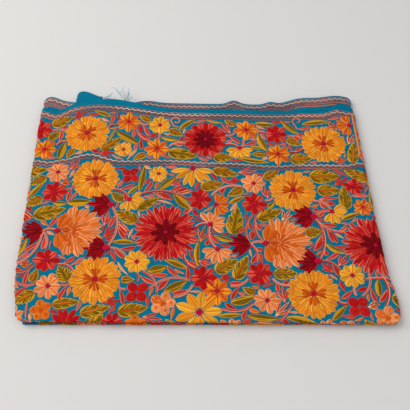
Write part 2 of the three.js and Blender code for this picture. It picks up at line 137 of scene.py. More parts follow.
class Value:
    """A number that varies over a material. Arithmetic on it adds Math nodes."""

    def __init__(self, graph, socket):
        self.graph = graph
        self.socket = socket

    def math(self, operation, *others):
        """The value and the others put through one operation."""
        inputs = {0: self}
        inputs.update({i + 1: other for i, other in enumerate(others)})
        return self.graph.node("ShaderNodeMath", inputs, operation=operation)

    def reflected(self, operation, other):
        """The same with the other one first, as in 1 - value."""
        return self.graph.node("ShaderNodeMath", {0: other, 1: self}, operation=operation)

    def __add__(self, other):
        return self.math("ADD", other)

    def __radd__(self, other):
        return self.reflected("ADD", other)

    def __sub__(self, other):
        return self.math("SUBTRACT", other)

    def __rsub__(self, other):
        return self.reflected("SUBTRACT", other)

    def __mul__(self, other):
        return self.math("MULTIPLY", other)

    def __rmul__(self, other):
        return self.reflected("MULTIPLY", other)

    def __truediv__(self, other):
        return self.math("DIVIDE", other)

    def wave(self):
        """1 where the value is whole and 0 halfway between."""
        return (self * (2 * math.pi)).math("COSINE") * 0.5 + 0.5

    def clamped(self):
        """The value kept between 0 and 1."""
        return self.graph.node("ShaderNodeClamp", {0: self})


METRES = 0.001  # in a millimetre


def mesh_object(name, points, faces, material, rounded=True):
    """Makes an object from points in millimetres. Its shading runs on from face to face where it
    is rounded."""
    mesh = bpy.data.meshes.new(name)
    mesh.from_pydata((np.asarray(points) * METRES).tolist(), [], faces)
    mesh.update()
    mesh.materials.append(material)
    mesh.polygons.foreach_set("use_smooth", [rounded] * len(mesh.polygons))
    made = bpy.data.objects.new(name, mesh)
    scene.collection.objects.link(made)
    return made


PAPER_HALF = 3000
PAPER_COLOUR = linear(216, 214, 210)

paper = Graph("paper", roughness=0.95)
floor = mesh_object(
    "paper",
    [(x * PAPER_HALF, y * PAPER_HALF, 0) for x, y in ((-1, -1), (1, -1), (1, 1), (-1, 1))],
    [(0, 1, 2, 3)],
    paper.finish(PAPER_COLOUR),
    rounded=False,
)

ROOM_COLOUR = (0.96, 0.97, 1.0, 1.0)
ROOM_LIGHT = 0.57

Lamp = namedtuple("Lamp", "name x y z size power")
LAMPS = [
    Lamp("window", -2.0, 0.35, 2.3, 2.2, 60),
    Lamp("fill", 2.2, -1.2, 2.2, 2.6, 12),
]
for lamp in LAMPS:
    light = bpy.data.lights.new(lamp.name, "AREA")
    light.size = lamp.size
    light.energy = lamp.power
    lamp_object = bpy.data.objects.new(lamp.name, light)
    scene.collection.objects.link(lamp_object)
    lamp_object.location = (lamp.x, lamp.y, lamp.z)
    lamp_object.rotation_euler = (-lamp_object.location).to_track_quat("-Z", "Y").to_euler()

world = bpy.data.worlds.new("room")
scene.world = world
world.use_nodes = True
room = world.node_tree.nodes["Background"]
room.inputs["Color"].default_value = ROOM_COLOUR
room.inputs["Strength"].default_value = ROOM_LIGHT

# ---------------------------------------------------------------- the folded cloth
# One length of wool twill, 1 m by 2 m, with its short ends frayed. It is folded in half with its
# face out, so both long hems are at the back, and then in three: six layers, 16 mm high.

SHAWL_LENGTH = 2000.0
SHAWL_WIDTH = 1000.0
FOLDED_WIDTH = SHAWL_LENGTH / 3
FOLDED_DEPTH = SHAWL_WIDTH / 2
PAIR = 4.8  # a folded pair of layers, pressed
PAIR_STEP = 5.3  # from one pair to the next, with the air between them
TOP = 3 * PAIR_STEP
LEFT_RADIUS = PAIR_STEP
RIGHT_RADIUS = TOP / 2
LEFT_AXIS_Z = TOP - LEFT_RADIUS
RIGHT_AXIS_Z = RIGHT_RADIUS
NOSE = PAIR / 2  # radius of a pair's rounded front fold
NOSE_RETURN = 5.0  # how far the face leaf runs back under its nose
CORNER = 9.0  # radius of the stack's corners in plan
TUCK = 24.0  # how far the left third reaches under the middle
MIDDLE_BACKSET = 3.0  # the lower noses lie this far behind the top one
BOTTOM_BACKSET = 2.0
MIDDLE_HEM = 232.0  # where the back edges of the lower pairs lie
BOTTOM_HEM = 236.0

# Each edge of the stack: how far it lies inside the nominal size, and how far it leans for each
# millimetre along it. Waves come on top: where each is, how wide, and how far out and up it goes.
Edge = namedtuple("Edge", "inset lean")
LEFT_EDGE = Edge(-9.2, 0.02)
RIGHT_EDGE = Edge(11.8, 0.025)
FRONT_EDGE = Edge(0.5, 0.006)
HEM_EDGE = Edge(26, 0.02)

Wave = namedtuple("Wave", "at wide out lift")
HEM_WAVES = [
    Wave(-312, 22, -12.5, -1.0),
    Wave(-205, 85, 25.0, 1.6),
    Wave(20, 60, 1.5, 0.6),
    Wave(292, 30, 22.0, 2.4),
]
LEFT_WAVES = [Wave(-262, 58, 17, 0)]
RIGHT_WAVES = [Wave(-215, 52, 10, 0)]

# Soft swells and hollows of the top: the middle of each, how long and wide it is, and its rise.
Swell = namedtuple("Swell", "x y long wide rise")
SWELLS = [
    Swell(-245, 165, 60, 55, 1.1),
    Swell(-300, 205, 30, 45, -1.2),
    Swell(-60, 10, 110, 60, 0.7),
    Swell(150, -80, 90, 70, 0.8),
    Swell(120, 150, 80, 40, -0.9),
    Swell(-180, -150, 80, 50, 0.6),
    Swell(30, -190, 60, 40, -0.6),
]
LIFT_REACH = 26.0  # the lifts of the hem reach this far into the top
RELIEF_EASE = 30.0  # swells die away over this distance from a side fold


def gauss(x, at, wide):
    """A bell curve: 1 at its middle, and e to the minus square of the distance in widths."""
    return np.exp(-(((x - at) / wide) ** 2))


def waves(rows, x, column):
    """The sum at x of the bell curves of a table, times one of its columns."""
    return sum(getattr(row, column) * gauss(x, row.at, row.wide) for row in rows)


def lerp(a, b, t):
    """The value a share t of the way from a to b."""
    return a + (b - a) * t


def smooth(t):
    """A rise from 0 to 1 that starts and ends level: 3 squares less 2 cubes."""
    c = np.clip(t, 0, 1)
    return c * c * (3 - 2 * c)


def left_axis(y):
    """The axis of the left fold: a radius inside the leaning, wavy left edge."""
    edge = -FOLDED_WIDTH / 2 + LEFT_EDGE.inset - LEFT_EDGE.lean * y + waves(LEFT_WAVES, y, "out")
    return edge + LEFT_RADIUS


def right_axis(y):
    """The axis of the right fold: a radius inside the leaning, wavy right edge."""
    edge = FOLDED_WIDTH / 2 - RIGHT_EDGE.inset - RIGHT_EDGE.lean * y + waves(RIGHT_WAVES, y, "out")
    return edge - RIGHT_RADIUS


def front_fold(x):
    """The front of the top nose: a straight edge that leans a little."""
    return -FOLDED_DEPTH / 2 + FRONT_EDGE.inset - FRONT_EDGE.lean * x


def hem(x):
    """The hem of the face leaf: a leaning edge with its waves."""
    return FOLDED_DEPTH / 2 - HEM_EDGE.inset - HEM_EDGE.lean * x + waves(HEM_WAVES, x, "out")


def relief(x, y):
    """How far the top rises above its level: the swells and the lifts of the hem, eased to
    nothing where the side folds begin."""
    rise = waves(HEM_WAVES, x, "lift") * gauss(y, hem(x), LIFT_REACH)
    for swell in SWELLS:
        rise = rise + swell.rise * gauss(x, swell.x, swell.long) * gauss(y, swell.y, swell.wide)
    inside = np.minimum(x - left_axis(y), right_axis(y) - x)
    return smooth(inside / RELIEF_EASE) * rise


def corner_cut(d):
    """How far a round corner in plan is cut back, a distance d inside the side of the stack."""
    away = np.clip(CORNER - d, 0, CORNER)
    return CORNER - np.sqrt(CORNER**2 - away**2)


SidePlace = namedtuple("SidePlace", "is_left axis radius beyond turn inside")


def side_place(s, t):
    """For a point s along the cloth and t across it: which side fold it is nearest, how far past
    that fold's axis it lies and the turn that makes, and how far in from the side of the stack."""
    left = left_axis(t)
    right = right_axis(t)
    is_left = s < 0
    axis = np.where(is_left, left, right)
    radius = np.where(is_left, LEFT_RADIUS, RIGHT_RADIUS)
    beyond = np.where(is_left, left - s, s - right)
    turn = np.clip(beyond / radius, 0, np.pi)
    inside = radius * (1 - np.sin(turn)) + np.maximum(-beyond, 0)
    return SidePlace(is_left, axis, radius, beyond, turn, inside)


def nose_start(s, t):
    """Where the cloth starts to bend round the front fold: a nose's radius behind the fold, which
    goes over to the lower noses as the cloth turns under, and further back at a corner."""
    near = side_place(s, t)
    on_top = (1 + np.cos(near.turn)) / 2
    under = front_fold(near.axis) + np.where(near.is_left, MIDDLE_BACKSET, BOTTOM_BACKSET)
    over = front_fold(np.clip(s, left_axis(t), right_axis(t)))
    return lerp(under, over, on_top) + NOSE + corner_cut(near.inside)


def nose_bend(start, t):
    """The turn that the cloth has made round the front fold, from none to half a turn."""
    return np.clip((start - t) / NOSE, 0, np.pi)


def round_nose(start, t, h):
    """The y of a point and its height out of the flat cloth. Behind start the cloth lies flat. In
    front of it the cloth bends down round a half circle and runs back below."""
    bend = nose_bend(start, t)
    run = np.maximum(start - t - np.pi * NOSE, 0)
    before = t < start
    y = np.where(before, start - (NOSE + h) * np.sin(bend) + run, t)
    return y, np.where(before, (NOSE + h) * np.cos(bend) - NOSE, h)


PRESSED_TURN = 2.9  # stitches are flat from this turn on, in radians
PRESSING_TURN = 1.2  # and lose their height over this turn before it


def on_face(s, t, h):
    """The point of space of a point of the face leaf. On the top, s is x and t is y. Past the side
    folds the cloth bends under, round their radii, and at the front it bends round the nose. h is
    the height out of the cloth's face, which the stitches lose where they face another layer."""
    s, t, h = np.broadcast_arrays(s, t, h)
    near = side_place(s, t)
    start = nose_start(s, t)
    most_turned = np.maximum(nose_bend(start, t), near.turn)
    h = np.where(h > 0, h * smooth((PRESSED_TURN - most_turned) / PRESSING_TURN), h)
    y, n = round_nose(start, t, h)
    side = np.where(near.is_left, -1, 1)
    axis_z = np.where(near.is_left, LEFT_AXIS_Z, RIGHT_AXIS_Z)
    back_run = np.maximum(near.beyond - np.pi * near.radius, 0)
    reach = near.radius + n
    folded = near.beyond > 0
    x = np.where(folded, near.axis + side * (reach * np.sin(near.turn) - back_run), s)
    z = np.where(folded, axis_z + reach * np.cos(near.turn), TOP + n + relief(s, y))
    return np.stack([x, y, z], axis=-1)


def steps(stretches):
    """Values along stretches that follow on each other, each with its own spacing."""
    parts = [np.arange(row.start, row.end, row.spacing) for row in stretches]
    return np.concatenate([*parts, [stretches[-1].end]])


def wall_object(name, place, s, t, outer, inner, material):
    """A closed wall of cloth: its face and its back as two grids, joined round the rim. s and t
    are grids of cloth coordinates, and outer and inner are heights out of the face."""
    rows, columns = s.shape
    points = np.concatenate([place(s, t, outer), place(s, t, inner)]).reshape(-1, 3)
    index = np.arange(rows * columns).reshape(rows, columns)
    face = np.stack([index[:-1, :-1], index[1:, :-1], index[1:, 1:], index[:-1, 1:]], -1)
    back = face[..., ::-1] + rows * columns
    loop = np.concatenate([index[0], index[1:, -1], index[-1, -2::-1], index[-2:0:-1, 0]])
    after = np.roll(loop, -1)
    rim = np.stack([loop, after, after + rows * columns, loop + rows * columns], -1)
    faces = np.concatenate([face.reshape(-1, 4), back.reshape(-1, 4), rim])
    made = mesh_object(name, points, faces.tolist(), material)
    flat = made.data.uv_layers.new(name="cloth")
    corner_points = np.empty(len(made.data.loops), dtype=np.int32)
    made.data.loops.foreach_get("vertex_index", corner_points)
    cloth = np.stack([s.ravel(), t.ravel()], -1)
    cloth = np.concatenate([cloth, cloth])[corner_points]
    flat.data.foreach_set("uv", cloth.astype(np.float32).ravel())
    return made


def cut_of(s, t):
    """Width and length in metres of the cloth between the edges of a piece."""
    return float(np.mean(np.abs(t[-1] - t[0]))) * METRES, float(np.ptp(s)) * METRES


GROUND = linear(2, 119, 145)
GROUND_DARK = linear(0, 100, 132)
GROUND_LIGHT = linear(24, 144, 168)
YARN = 0.75  # millimetres from one yarn of the twill to the next
DYE_SPOTS = 18.0
FUZZ_SPOTS = 900.0
PUCKER_SPOTS = 160.0
# Painted shade: how much darker the ground is painted in its puckers inside the border lines.
PAINTED_PUCKER_SHADE = 0.22
PUCKER_HEIGHT = 2.0
PLAIN = (1.0, 1.0, 1.0, 1.0)
BETWEEN_STITCHES_PAINTED_LIGHT = (1.0, 1.10, 1.06, 1.0)  # painted light: lifts the ground between the stitches lighter and greener, against their shade
WORKED_TO = 226.0  # the border lines keep the plain margin smooth from here on
WORKED_EASE = 8.0


def wool_material(name):
    """Turquoise twill: diagonal ribs over warp and weft, dyed a little unevenly, with short fuzz.
    Inside the border lines the ground is puckered by the stitches, with painted shade in the
    puckers, and painted light makes it lighter and greener there against the stitches' shade."""
    graph = Graph(name, roughness=0.95)
    s, t = graph.flat_place("cloth")
    rib = ((s + t) / (2 * YARN)).wave()
    warp = (s / YARN).wave()
    weft = (t / YARN).wave()
    where = graph.node("ShaderNodeTexCoord", output="Object")
    dye = graph.noise(where, DYE_SPOTS, 4.0)
    fuzz = graph.noise(where, FUZZ_SPOTS, 3.0)
    tone = graph.mix(dye * 1.6 - 0.3, GROUND_DARK, GROUND)
    fleck = (fuzz - 0.55) * 1.4 + rib * 0.12
    colour = graph.mix(fleck.clamped(), tone, GROUND_LIGHT)
    worked = ((WORKED_TO - t) / WORKED_EASE).clamped()
    pucker = graph.noise(where, PUCKER_SPOTS, 2.0)
    # Inside the border lines: painted shade in the puckers, then a painted light lift of the ground
    # between the stitches.
    colour = graph.mix(1.0, colour, 1.0 - worked * pucker * PAINTED_PUCKER_SHADE, "MULTIPLY")
    colour = graph.mix(1.0, colour, graph.mix(worked, PLAIN, BETWEEN_STITCHES_PAINTED_LIGHT), "MULTIPLY")
    height = rib * 0.6 + warp * weft * 0.3 + fuzz * 0.5 + worked * pucker * PUCKER_HEIGHT
    return graph.finish(colour, height, bump=0.5, distance=0.0004)


turquoise_wool = wool_material("turquoise_wool")

GROUND_SINK = -0.5  # the ground cloth lies below the face of the stitches
CLOTH = 1.2  # thickness of the ground cloth

# The grid is close where the cloth bends and wide where it lies flat or is hidden.
Stretch = namedtuple("Stretch", "start end spacing")
ALONG_CLOTH = [
    Stretch(-382, -310, 2.2),
    Stretch(-310, 296, 6.0),
    Stretch(296, 346, 2.2),
    Stretch(346, 400, 9.0),
    Stretch(400, 990, 25.0),
]
FROM_HEM = [Stretch(0, 24, 4.0), Stretch(24, 470, 6.5)]
BEND_ROWS = 11
FIRST_BENT = 0.2  # the rows on each side of the place where the cloth starts to bend
LAST_FLAT = 0.5
BEHIND_FOLD = 10  # the side folds are read this far behind the front fold
s_steps = steps(ALONG_CLOTH)
hem_steps = steps(FROM_HEM)


def leaf_grid():
    """Cloth coordinates of the face leaf: rows from the hem to the front fold, then close rows
    round it and back under."""
    start = nose_start(s_steps, front_fold(s_steps) + BEHIND_FOLD)
    edge = hem(s_steps) - corner_cut(side_place(s_steps, hem(s_steps)).inside)
    down = hem_steps / hem_steps[-1]
    flat_rows = lerp(edge[None], start[None] + LAST_FLAT, down[:, None])
    past = np.linspace(FIRST_BENT, np.pi * NOSE + NOSE_RETURN, BEND_ROWS)
    t = np.concatenate([flat_rows, start[None] - past[:, None]])
    s = np.broadcast_to(s_steps[None], t.shape)
    return s[::-1], t[::-1]


leaf_s, leaf_t = leaf_grid()
face_leaf = wall_object(
    "face_leaf_wool", on_face, leaf_s, leaf_t, GROUND_SINK, GROUND_SINK - CLOTH, turquoise_wool
)
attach(face_leaf, "root")
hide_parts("face_leaf")

# ---------------------------------------------------------------- stitched petals
# The flowers are filled with rows of wool chain stitch worked with a hook. Each petal, leaf half
# and stem is a low pad of rows that follow its length, with an outline row in a lighter wool.

ROW = 2.3  # millimetres across one row of chain stitch
LINK = 3.2  # length of one link of the chain
ACROSS = np.array([-1, -0.82, -0.45, 0, 0.45, 0.82, 1.0])  # places across a pad
DOME = np.array([-0.75, 0.35, 0.85, 1.0, 0.85, 0.35, -0.75])  # its height there
END_HEIGHT = 0.15  # of the crown, where a pad starts and ends
END_RISE = 4.0
LOTS = 90.0  # a pad's lot is a random number up to this, which sets the tones of its rows
DYE_LOT = (0.80, 1.14)  # how light the wool of a pad may come out
LEAST_WIDTH = 0.1  # of the full width, at the ends of a pad
shake = np.random.default_rng(11)

WOOL = {
    "gold": linear(250, 154, 32),
    "pale gold": linear(255, 196, 92),
    "amber": linear(236, 128, 30),
    "yellow": linear(250, 176, 48),
    "orange": linear(232, 106, 28),
    "burnt": linear(206, 78, 14),
    "peach": linear(248, 150, 92),
    "pale peach": linear(255, 186, 134),
    "salmon": linear(230, 84, 62),
    "red": linear(196, 24, 22),
    "crimson": linear(186, 12, 26),
    "maroon": linear(132, 6, 18),
    "wine": linear(100, 2, 14),
    "magenta": linear(206, 12, 78),
    "rose": linear(220, 98, 80),
    "pink": linear(240, 138, 112),
    "madder": linear(204, 62, 46),
    "mustard": linear(214, 152, 22),
    "olive": linear(124, 92, 14),
    "straw": linear(232, 176, 50),
    "dusty rose": linear(190, 120, 112),
    "brown": linear(150, 98, 92),
    "slate": linear(106, 124, 142),
    "cream": linear(250, 212, 176),
}


class Stitching:
    """Gathers pads of stitches. A pad has a centre line, half widths along it, a height and three
    wools: body, rim and rib."""

    def __init__(self):
        self.points = []
        self.faces = []
        self.fields = {"flat": [], "edge": [], "lot": [], "body": [], "rim": [], "rib": []}
        self.count = 0

    def add(self, centre, half, lift, crown, body, rim, rib):
        """Adds N pads at once: centre is (N, U, 2), half is (N, U), and the rest have N rows. A
        point lies off the centre line by the half width times its place across, at right angles,
        and its height is the lift plus the crown times the dome, lower at both ends."""
        number, along = half.shape
        width = len(ACROSS)
        run = np.gradient(centre, axis=1)
        run /= np.maximum(np.linalg.norm(run, axis=-1, keepdims=True), 1e-6)
        normal = np.stack([-run[..., 1], run[..., 0]], -1)
        offset = half[..., None] * ACROSS
        place = centre[:, :, None] + normal[:, :, None] * offset[..., None]
        arch = np.sin(np.pi * np.linspace(0, 1, along)) ** 0.8
        ends = np.minimum(1, END_HEIGHT + END_RISE * arch)
        profile = np.where(DOME > 0, DOME * ends[:, None], DOME)
        height = lift[:, None, None] + crown[:, None, None] * profile
        points = np.concatenate([place, height[..., None]], -1).reshape(-1, 3)
        step = np.linalg.norm(np.diff(centre, axis=1), axis=-1)
        length = np.concatenate([np.zeros((number, 1)), np.cumsum(step, 1)], 1)
        length = np.broadcast_to(length[..., None], place.shape[:3])
        edge = half[..., None] * (1 - np.abs(ACROSS))
        index = self.count + np.arange(number * along * width).reshape(number, along, width)
        corners = [
            index[:, :-1, :-1], index[:, 1:, :-1], index[:, 1:, 1:], index[:, :-1, 1:]
        ]
        self.faces.append(np.stack(corners, -1)[..., ::-1].reshape(-1, 4))
        self.points.append(points)
        self.count += len(points)
        self.fields["flat"].append(np.stack([offset, length], -1).reshape(-1, 2))
        self.fields["edge"].append(edge.reshape(-1))
        self.fields["lot"].append(np.repeat(shake.uniform(0, LOTS, number), along * width))
        for name, wool in (("body", body), ("rim", rim), ("rib", rib)):
            each = np.broadcast_to(wool[:, None], (number, along * width, 4))
            self.fields[name].append(each.reshape(-1, 4))

    def sew(self, name, place, material):
        """Makes one object of all pads, laid on the cloth by place."""
        cloth = np.concatenate(self.points)
        faces = np.concatenate(self.faces)
        space = place(cloth[:, 0], cloth[:, 1], cloth[:, 2])
        made = mesh_object(name, space, faces.tolist(), material)
        mesh = made.data
        flat = np.concatenate(self.fields["flat"])[faces.ravel()]
        mesh.uv_layers.new(name="stitch").data.foreach_set("uv", flat.astype(np.float32).ravel())
        for field in ("edge", "lot"):
            number = mesh.attributes.new(field, "FLOAT", "POINT")
            values = np.concatenate(self.fields[field]).astype(np.float32)
            number.data.foreach_set("value", values)
        for field in ("body", "rim", "rib"):
            wool = mesh.attributes.new(field, "FLOAT_COLOR", "POINT")
            values = np.concatenate(self.fields[field]).astype(np.float32)
            wool.data.foreach_set("color", values.ravel())
        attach(made, "root")
        return made


def wools(names, count):
    """Wool colours for a number of pads. They take the names in turn, each times a random
    lightness for its dye lot."""
    names = [names] if isinstance(names, str) else names
    colours = np.array([WOOL[names[i % len(names)]] for i in range(count)])
    colours[:, :3] *= shake.uniform(*DYE_LOT, (count, 1))
    return colours


# The outline of a pad: where along it is widest, how full its curve is, and how many points long.
Shape = namedtuple("Shape", "peak full points")
PETAL = Shape(0.64, 0.5, 9)
LONG_PETAL = Shape(0.6, 0.62, 9)
ROUND = Shape(0.52, 0.46, 9)
POINTED = Shape(0.42, 0.78, 9)
STROKE = Shape(0.55, 0.45, 7)
BLADE = Shape(0.45, 0.85, 9)
TOOTH = Shape(0.42, 0.78, 6)


def pads(
    sewing, shape, x, y, heading, length, width, body, rim, rib, bend=0.0, lift=0.0, crown=1.4
):
    """Adds petals or strokes that start at x, y and run along a heading in degrees, which turns by
    the bend on the way. The half width is a sine of the way along, raised to the shape's fullness
    and skewed so that its peak lies where the shape has it."""
    arrays = np.broadcast_arrays(*map(np.atleast_1d, (x, y, heading, length, width, bend, lift)))
    x, y, heading, length, width, bend, lift = (a.astype(float) for a in arrays)
    count = len(x)
    u = np.linspace(0, 1, shape.points)
    middle = (u[1:] + u[:-1]) / 2
    angle = np.radians(heading[:, None] + bend[:, None] * (middle - 0.5))
    step = length[:, None] / (shape.points - 1)
    dx = np.concatenate([np.zeros((count, 1)), np.cumsum(step * np.cos(angle), 1)], 1)
    dy = np.concatenate([np.zeros((count, 1)), np.cumsum(step * np.sin(angle), 1)], 1)
    centre = np.stack([x[:, None] + dx, y[:, None] + dy], -1)
    power = math.log(0.5) / math.log(shape.peak)
    profile = np.maximum(np.sin(np.pi * np.clip(u**power, 0, 1)), 0) ** shape.full
    half = 0.5 * width[:, None] * np.maximum(profile, LEAST_WIDTH)
    crowns = np.full(count, crown)
    sewing.add(
        centre, half, lift, crowns, wools(body, count), wools(rim, count), wools(rib, count)
    )


RIM_ROWS = 0.75  # how wide the outline is, in rows
RIB_ROWS = 0.5  # and how far the rib reaches to each side of the middle
WOOL_FUZZ_SPOTS = 700.0


def stitch_material():
    """Rows of chain stitch: each row a ridge of links, a lighter outline row round each petal, a
    rib row down its middle, and painted shade in the gaps between the rows and the links and
    along the edges of each pad."""
    graph = Graph("stitched_wool", roughness=0.85)
    across, along = graph.flat_place("stitch")
    edge = graph.attribute("edge", "Fac")
    row = across / ROW
    ridge = row.wave()
    turn = (row + 0.5).math("FLOOR") * 0.5
    link = (along / LINK + turn).wave()
    is_rim = ((ROW * RIM_ROWS - edge) * 3.0).clamped()
    is_rib = ((ROW * RIB_ROWS - across.math("ABSOLUTE")) * 4.0).clamped() * (1.0 - is_rim)
    strand = (row + 0.5).math("FLOOR") + graph.attribute("lot", "Fac")
    tone = graph.node("ShaderNodeTexWhiteNoise", {"W": strand}, noise_dimensions="1D")
    colour = graph.mix(is_rim, graph.attribute("body"), graph.attribute("rim"))
    colour = graph.mix(is_rib, colour, graph.attribute("rib"))
    where = graph.node("ShaderNodeTexCoord", output="Object")
    fuzz = graph.noise(where, WOOL_FUZZ_SPOTS, 2.0)
    # Painted shade: darker along each pad's edges and in the grooves between rows and links. The
    # fuzz and the strand tone are random wool colour.
    painted_edge_shade = (edge * 1.6).clamped() * 0.6 + 0.4
    shade = (0.46 + ridge * 0.46 + link * 0.08 + (fuzz - 0.5) * 0.3 + tone * 0.26) * painted_edge_shade
    colour = graph.mix(1.0, colour, shade, "MULTIPLY")
    height = ridge * (0.7 + link * 0.3) + fuzz * 0.25
    return graph.finish(colour, height, bump=0.6, distance=0.0006)


stitched_wool = stitch_material()

# ---------------------------------------------------------------- flowers
# Each kind of flower is a set of rings of petals, sewn one over the other. A ring runs from an
# inner to an outer part of the flower's radius, over an arc of the circle, in one to three wools.
# Its petals fill their room so far, and may be shorter at its sides, shifted or set in groups.

Ring = namedtuple(
    "Ring",
    "petals inner outer arc fill shape body rim rib lift narrow shift group",
    defaults=[0.0, 0.0, 1],
)
FULL = 360
DOT = Ring(4, 0.0, 0.19, FULL, 1.4, ROUND, ["magenta", "magenta", "red"], "magenta", "red", 0.9)
SMALL_DOT = DOT._replace(outer=0.12, lift=1.5)
KINDS = {
    "marigold": [
        Ring(14, 0.10, 0.92, FULL, 1.7, PETAL, "amber", "amber", "amber", -0.25),
        Ring(27, 0.56, 1.0, FULL, 1.2, PETAL, "gold", "pale gold", "amber", 0.0),
        Ring(19, 0.30, 0.76, FULL, 1.15, PETAL, ["gold", "yellow"], "pale gold", "amber", 0.5),
        Ring(13, 0.12, 0.46, FULL, 1.1, PETAL, ["gold", "amber"], "pale gold", "amber", 0.8),
        Ring(12, 0.05, 0.50, FULL, 0.85, PETAL, ["burnt", "orange", "burnt"], "burnt", "burnt",
             1.1, group=3),
        SMALL_DOT,
    ],
    "great red": [
        Ring(16, 0.10, 0.86, FULL, 1.7, PETAL, "red", "red", "red", -0.25),
        Ring(31, 0.46, 1.0, FULL, 1.15, LONG_PETAL, ["salmon", "red", "salmon"], "pink", "crimson",
             0.0),
        Ring(25, 0.28, 0.80, FULL, 1.1, LONG_PETAL, ["red", "crimson", "salmon"], "salmon",
             "crimson", 0.4),
        Ring(8, 0.04, 0.46, FULL, 1.15, ROUND, "maroon", "maroon", "wine", 1.0),
        SMALL_DOT._replace(outer=0.07),
    ],
    "red": [
        Ring(12, 0.10, 0.86, FULL, 1.7, PETAL, "red", "red", "red", -0.25),
        Ring(20, 0.50, 1.0, FULL, 1.25, PETAL, ["salmon", "red"], "salmon", "crimson", 0.0),
        Ring(16, 0.36, 0.72, FULL, 1.1, PETAL, ["red", "crimson"], "salmon", "crimson", 0.4),
        Ring(10, 0.06, 0.56, FULL, 1.15, PETAL, "maroon", "maroon", "wine", 1.0),
        SMALL_DOT._replace(outer=0.09),
    ],
    "scarlet": [
        Ring(8, 0.10, 1.0, FULL, 1.2, LONG_PETAL, ["red", "salmon", "red"], "salmon", "crimson",
             0.0),
        Ring(8, 0.10, 0.52, FULL, 0.9, LONG_PETAL, ["red", "crimson"], "red", "crimson", 0.5),
        DOT,
    ],
    "star": [
        Ring(8, 0.10, 1.0, FULL, 1.1, LONG_PETAL, ["gold", "orange", "gold"], "peach", "burnt",
             0.0),
        Ring(8, 0.10, 0.54, FULL, 0.9, LONG_PETAL, ["burnt", "orange"], "orange", "burnt", 0.5),
        DOT,
    ],
    "sun": [
        Ring(9, 0.12, 1.0, FULL, 1.2, PETAL, "yellow", "pale gold", "amber", 0.0),
        DOT,
    ],
    "peach": [
        Ring(9, 0.12, 1.0, FULL, 1.1, PETAL, "peach", "pale peach", "orange", 0.0),
        DOT,
    ],
    "bobble": [
        Ring(5, 0.14, 1.0, FULL, 1.15, ROUND, ["orange", "amber"], "gold", "orange", 0.0),
        Ring(5, 0.48, 0.78, FULL, 0.5, ROUND, "orange", "orange", "burnt", 0.6),
        Ring(3, 0.0, 0.26, FULL, 1.2, ROUND, "burnt", "orange", "burnt", 0.8),
    ],
    "peach bobble": [
        Ring(5, 0.14, 1.0, FULL, 1.15, ROUND, ["peach", "peach", "orange"], "pale peach", "peach",
             0.0),
        Ring(5, 0.48, 0.78, FULL, 0.5, ROUND, "orange", "peach", "orange", 0.6),
        Ring(3, 0.0, 0.26, FULL, 1.2, ROUND, "orange", "orange", "burnt", 0.8),
    ],
    "cherry": [
        Ring(4, 0.08, 1.0, FULL, 1.0, ROUND, ["red", "crimson", "red"], "salmon", "red", 0.2),
        Ring(4, 0.42, 0.76, FULL, 0.45, ROUND, ["red", "crimson"], "salmon", "red", 0.7),
    ],
    "half orange": [
        Ring(7, 0.12, 1.0, 200, 1.2, PETAL, ["amber", "orange"], "peach", "burnt", 0.0),
        DOT,
    ],
    "half sun": [
        Ring(6, 0.12, 1.0, 190, 1.15, PETAL, "yellow", "pale gold", "amber", 0.0),
        DOT,
    ],
    "half peach": [
        Ring(6, 0.12, 1.0, 190, 1.15, PETAL, "peach", "pale peach", "orange", 0.0),
        DOT,
    ],
    "half red": [
        Ring(7, 0.08, 1.0, 190, 1.25, LONG_PETAL, ["red", "crimson"], "salmon", "red", 0.0),
    ],
    "daisy": [
        Ring(9, 0.12, 1.0, FULL, 0.95, LONG_PETAL, ["yellow", "gold"], "pale gold", "amber", 0.0),
        DOT._replace(outer=0.15),
    ],
    "low daisy": [
        Ring(7, 0.12, 1.0, 190, 1.0, LONG_PETAL, ["yellow", "gold"], "pale gold", "amber", 0.0),
        DOT._replace(outer=0.15),
    ],
    "fan": [
        Ring(8, 0.02, 0.66, 250, 1.4, PETAL, "orange", "orange", "orange", -0.25, 0.2, 0.28),
        Ring(15, 0.26, 0.72, 214, 1.2, LONG_PETAL, "peach", "pale peach", "orange", 0.0, 0.2, 0.28),
        Ring(12, 0.14, 0.50, 230, 1.1, LONG_PETAL, ["peach", "orange"], "pale peach", "orange",
             0.5, 0.2, 0.28),
        Ring(9, 0.0, 0.28, 260, 1.0, PETAL, ["burnt", "orange"], "peach", "burnt", 1.0, 0.1, 0.28),
        Ring(2, 0.04, 0.44, 300, 0.30, PETAL, "orange", "gold", "burnt", 0.2),
        Ring(3, 0.06, 0.42, 150, 0.9, PETAL, ["orange", "burnt"], "peach", "burnt", 0.9),
        DOT._replace(outer=0.07, lift=1.6),
    ],
    "bud": [
        Ring(5, 0.0, 0.84, 100, 1.3, PETAL, "maroon", "maroon", "maroon", -0.25, 0.6),
        Ring(5, 0.0, 1.0, 124, 1.35, POINTED, ["crimson", "maroon"], "red", "wine", 0.0, 0.62),
        Ring(4, 0.0, 0.70, 80, 1.2, POINTED, ["maroon", "crimson"], "crimson", "wine", 0.6, 0.3),
    ],
    "tulip": [
        Ring(5, 0.12, 0.84, 100, 1.3, PETAL, "maroon", "maroon", "maroon", -0.25, 0.6),
        Ring(5, 0.12, 1.0, 124, 1.35, POINTED, ["crimson", "maroon"], "red", "wine", 0.0, 0.62),
        Ring(4, 0.10, 0.76, 80, 1.2, POINTED, ["maroon", "crimson"], "crimson", "wine", 0.6, 0.3),
        DOT._replace(outer=0.16, lift=1.0),
    ],
}

# One repeat of the pattern, charted on a coarse pitch. Only the main flowers have places;
# all that lies between them grows by rule.

REPEAT_X = 385.0
REPEAT_Y = -27.0
STEP = REPEAT_X / 32  # from one column or row of the chart to the next

